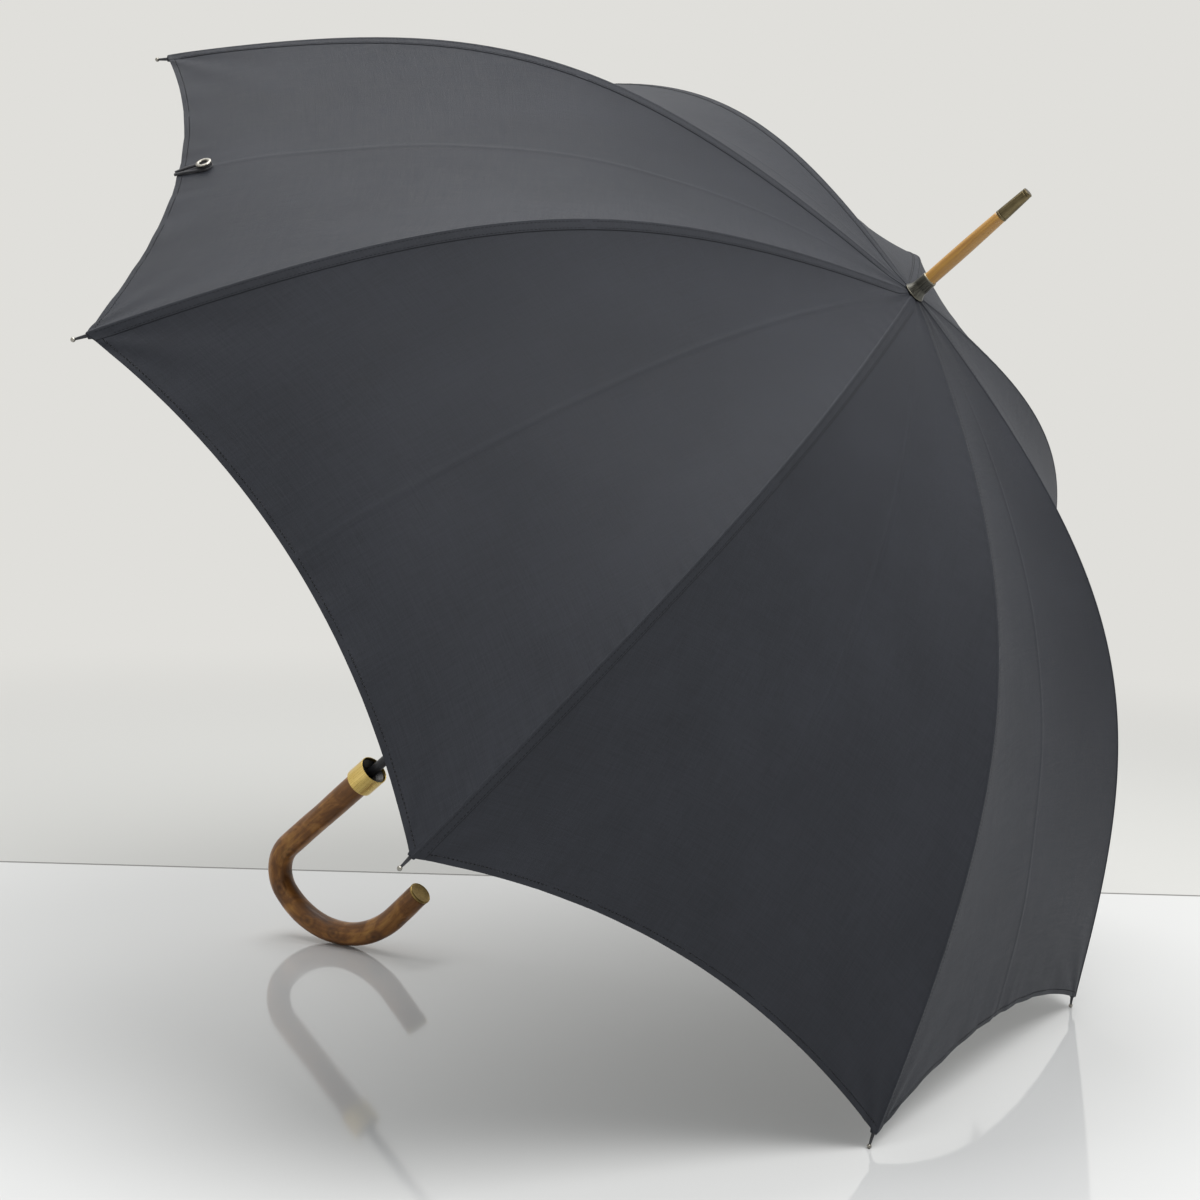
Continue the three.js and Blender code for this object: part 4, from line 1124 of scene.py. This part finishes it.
def soften(made, degrees):
    """Custom normals: each corner takes the mean of the faces at its place within an angle."""
    mesh = made.data
    vertex = read(mesh.loops, "vertex_index", np.int32)
    places = np.round(read(mesh.vertices, "co", np.float32, 3) / 1e-6).astype(np.int64)
    normals = read(mesh.polygons, "normal", np.float32, 3)
    areas = read(mesh.polygons, "area", np.float32)
    face = np.repeat(np.arange(len(areas)), read(mesh.polygons, "loop_total", np.int32))
    groups = {}
    for loop, v in enumerate(vertex):
        groups.setdefault(tuple(places[v]), []).append(loop)
    limit = math.cos(math.radians(degrees))
    result = np.empty((len(vertex), 3))
    for loops in groups.values():
        found = normals[face[loops]]
        near = (found @ found.T >= limit) * areas[face[loops]][None]
        result[loops] = near @ found
    mesh.shade_smooth()
    mesh.normals_split_custom_set(unit(result).tolist())


STAYING = {
    "black_steel": (black_steel, ["shaft", "stop_pin", "runner", "top_catch", "bottom_catch"]
                    + [f"{kind}_{i}" for kind in ("rib_inner", "rib_outer", "stretcher")
                       for i in range(1, RIBS + 1)]),
    "black_plastic": (black_plastic, ["notch"]),
    "bright_steel": (bright_steel, ["notch_wire", "runner_wire"]),
}


def finish_frame():
    for finish, names in STAYING.values():
        for name in names:
            made = frame["nodes"][name]
            made.data.materials.clear()
            made.data.materials.append(finish)
            soften(made, 38)


# ---- Floor, backdrop and light ----

BACKDROP = srgb(224, 223, 219)
WALL = srgb(205, 204, 200)
FLOOR = srgb(222, 222, 221)
EDGE = srgb(120, 119, 116)
EDGE_LINE = 0.005  # m, the dark line where the floor meets the backdrop
WALL_AHEAD = 2.147  # m from the camera to where the floor meets the backdrop
FLOOR_FADE = (1.0, 2.1)  # m from the umbrella, over which the floor becomes the plain backdrop
FLOOR_SIZE = 30  # m to each side
FLOOR_ROUGHNESS, WALL_ROUGHNESS = 0.07, 0.8
SKY, SKY_STRENGTH = (0.95, 0.98, 1.0, 1), 0.47
LAMPS_AIM = (0, 0, 0.35)
# Each lamp's place and size in m, and its power in W.
LAMPS = {"key": ((1.3, -0.5, 2.6), (1.8, 1.8), 58), "top": ((-0.7, 0.3, 2.8), (2.2, 1.6), 42)}


def floor_finish():
    """A glossy floor up to a dark line, the wall's colour beyond it, and the backdrop far away."""
    made = Finish("floor", specular_ior_level=0.5)
    here = made.put("TexCoord").outputs["Object"]
    ahead = (-math.sin(AZIMUTH), math.cos(AZIMUTH), 0)
    reach = made.put("VectorMath", {0: here, 1: ahead}, operation="DOT_PRODUCT").outputs["Value"]
    start = CAMERA_AT.dot(Vector(ahead)) + WALL_AHEAD
    beyond = made.ranged(reach, start - 0.004, start + 0.004)
    edge = made.put("Math", {0: reach, 1: start, 2: EDGE_LINE / 2}, operation="COMPARE")
    made.colour(edge.outputs["Value"], made.mix(beyond, FLOOR, WALL), EDGE)
    made.roughness(beyond, 0, 1, FLOOR_ROUGHNESS, WALL_ROUGHNESS)
    plain = made.put("Emission", {"Color": BACKDROP})
    away = made.put("VectorMath", {0: here}, operation="LENGTH").outputs["Value"]
    fade = made.put("MapRange", {"Value": away, "From Min": FLOOR_FADE[0],
                                 "From Max": FLOOR_FADE[1]}, interpolation_type="SMOOTHSTEP")
    share = made.math("MULTIPLY", fade.outputs["Result"], made.seen_rays())
    made.show(share, made.shader, plain, "Material Output")
    return made.material


def make_floor():
    mesh = bpy.data.meshes.new("floor")
    corners = [(x * FLOOR_SIZE, y * FLOOR_SIZE, 0) for x, y in ((-1, -1), (1, -1), (1, 1), (-1, 1))]
    mesh.from_pydata(corners, [], [(0, 1, 2, 3)])
    mesh.materials.append(floor_finish())
    floor = added("floor", mesh)


def make_world():
    """Even light from all round, and the plain backdrop for rays that are seen."""
    world = bpy.data.worlds.new("studio")
    bpy.context.scene.world = world
    world.use_nodes = True
    made = Nodes(world.node_tree)
    light = made.tree.nodes["Background"]
    made.feed(light.inputs["Color"], SKY)
    made.feed(light.inputs["Strength"], SKY_STRENGTH)
    seen = made.put("Background", {"Color": BACKDROP})
    made.show(made.seen_rays(), light, seen, "World Output")


def make_lights():
    for name, (place, size, power) in LAMPS.items():
        light = bpy.data.lights.new(name, "AREA")
        light.shape = "RECTANGLE"
        light.size, light.size_y = size
        light.energy = power
        made = added(name, light)
        made.location = place
        aim = Vector(LAMPS_AIM) - Vector(place)
        made.rotation_euler = aim.to_track_quat("-Z", "Y").to_euler()


def main():
    elastic_loop()
    button()
    for gore in range(1, RIBS + 1):
        for side in (-1, 1):
            for band in FOLDS:
                half_gore(gore, side, band)
    for rib in range(1, RIBS + 1):
        for band in FOLDS:
            seam(rib, band)
        rib_tip(rib)
        corner_tab(rib)
    crown_pieces()
    bark_crook()
    end_disc()
    collar_pieces()
    finish_frame()
    make_floor()
    make_world()
    make_lights()
    bpy.context.scene.view_settings.view_transform = "Standard"


main()
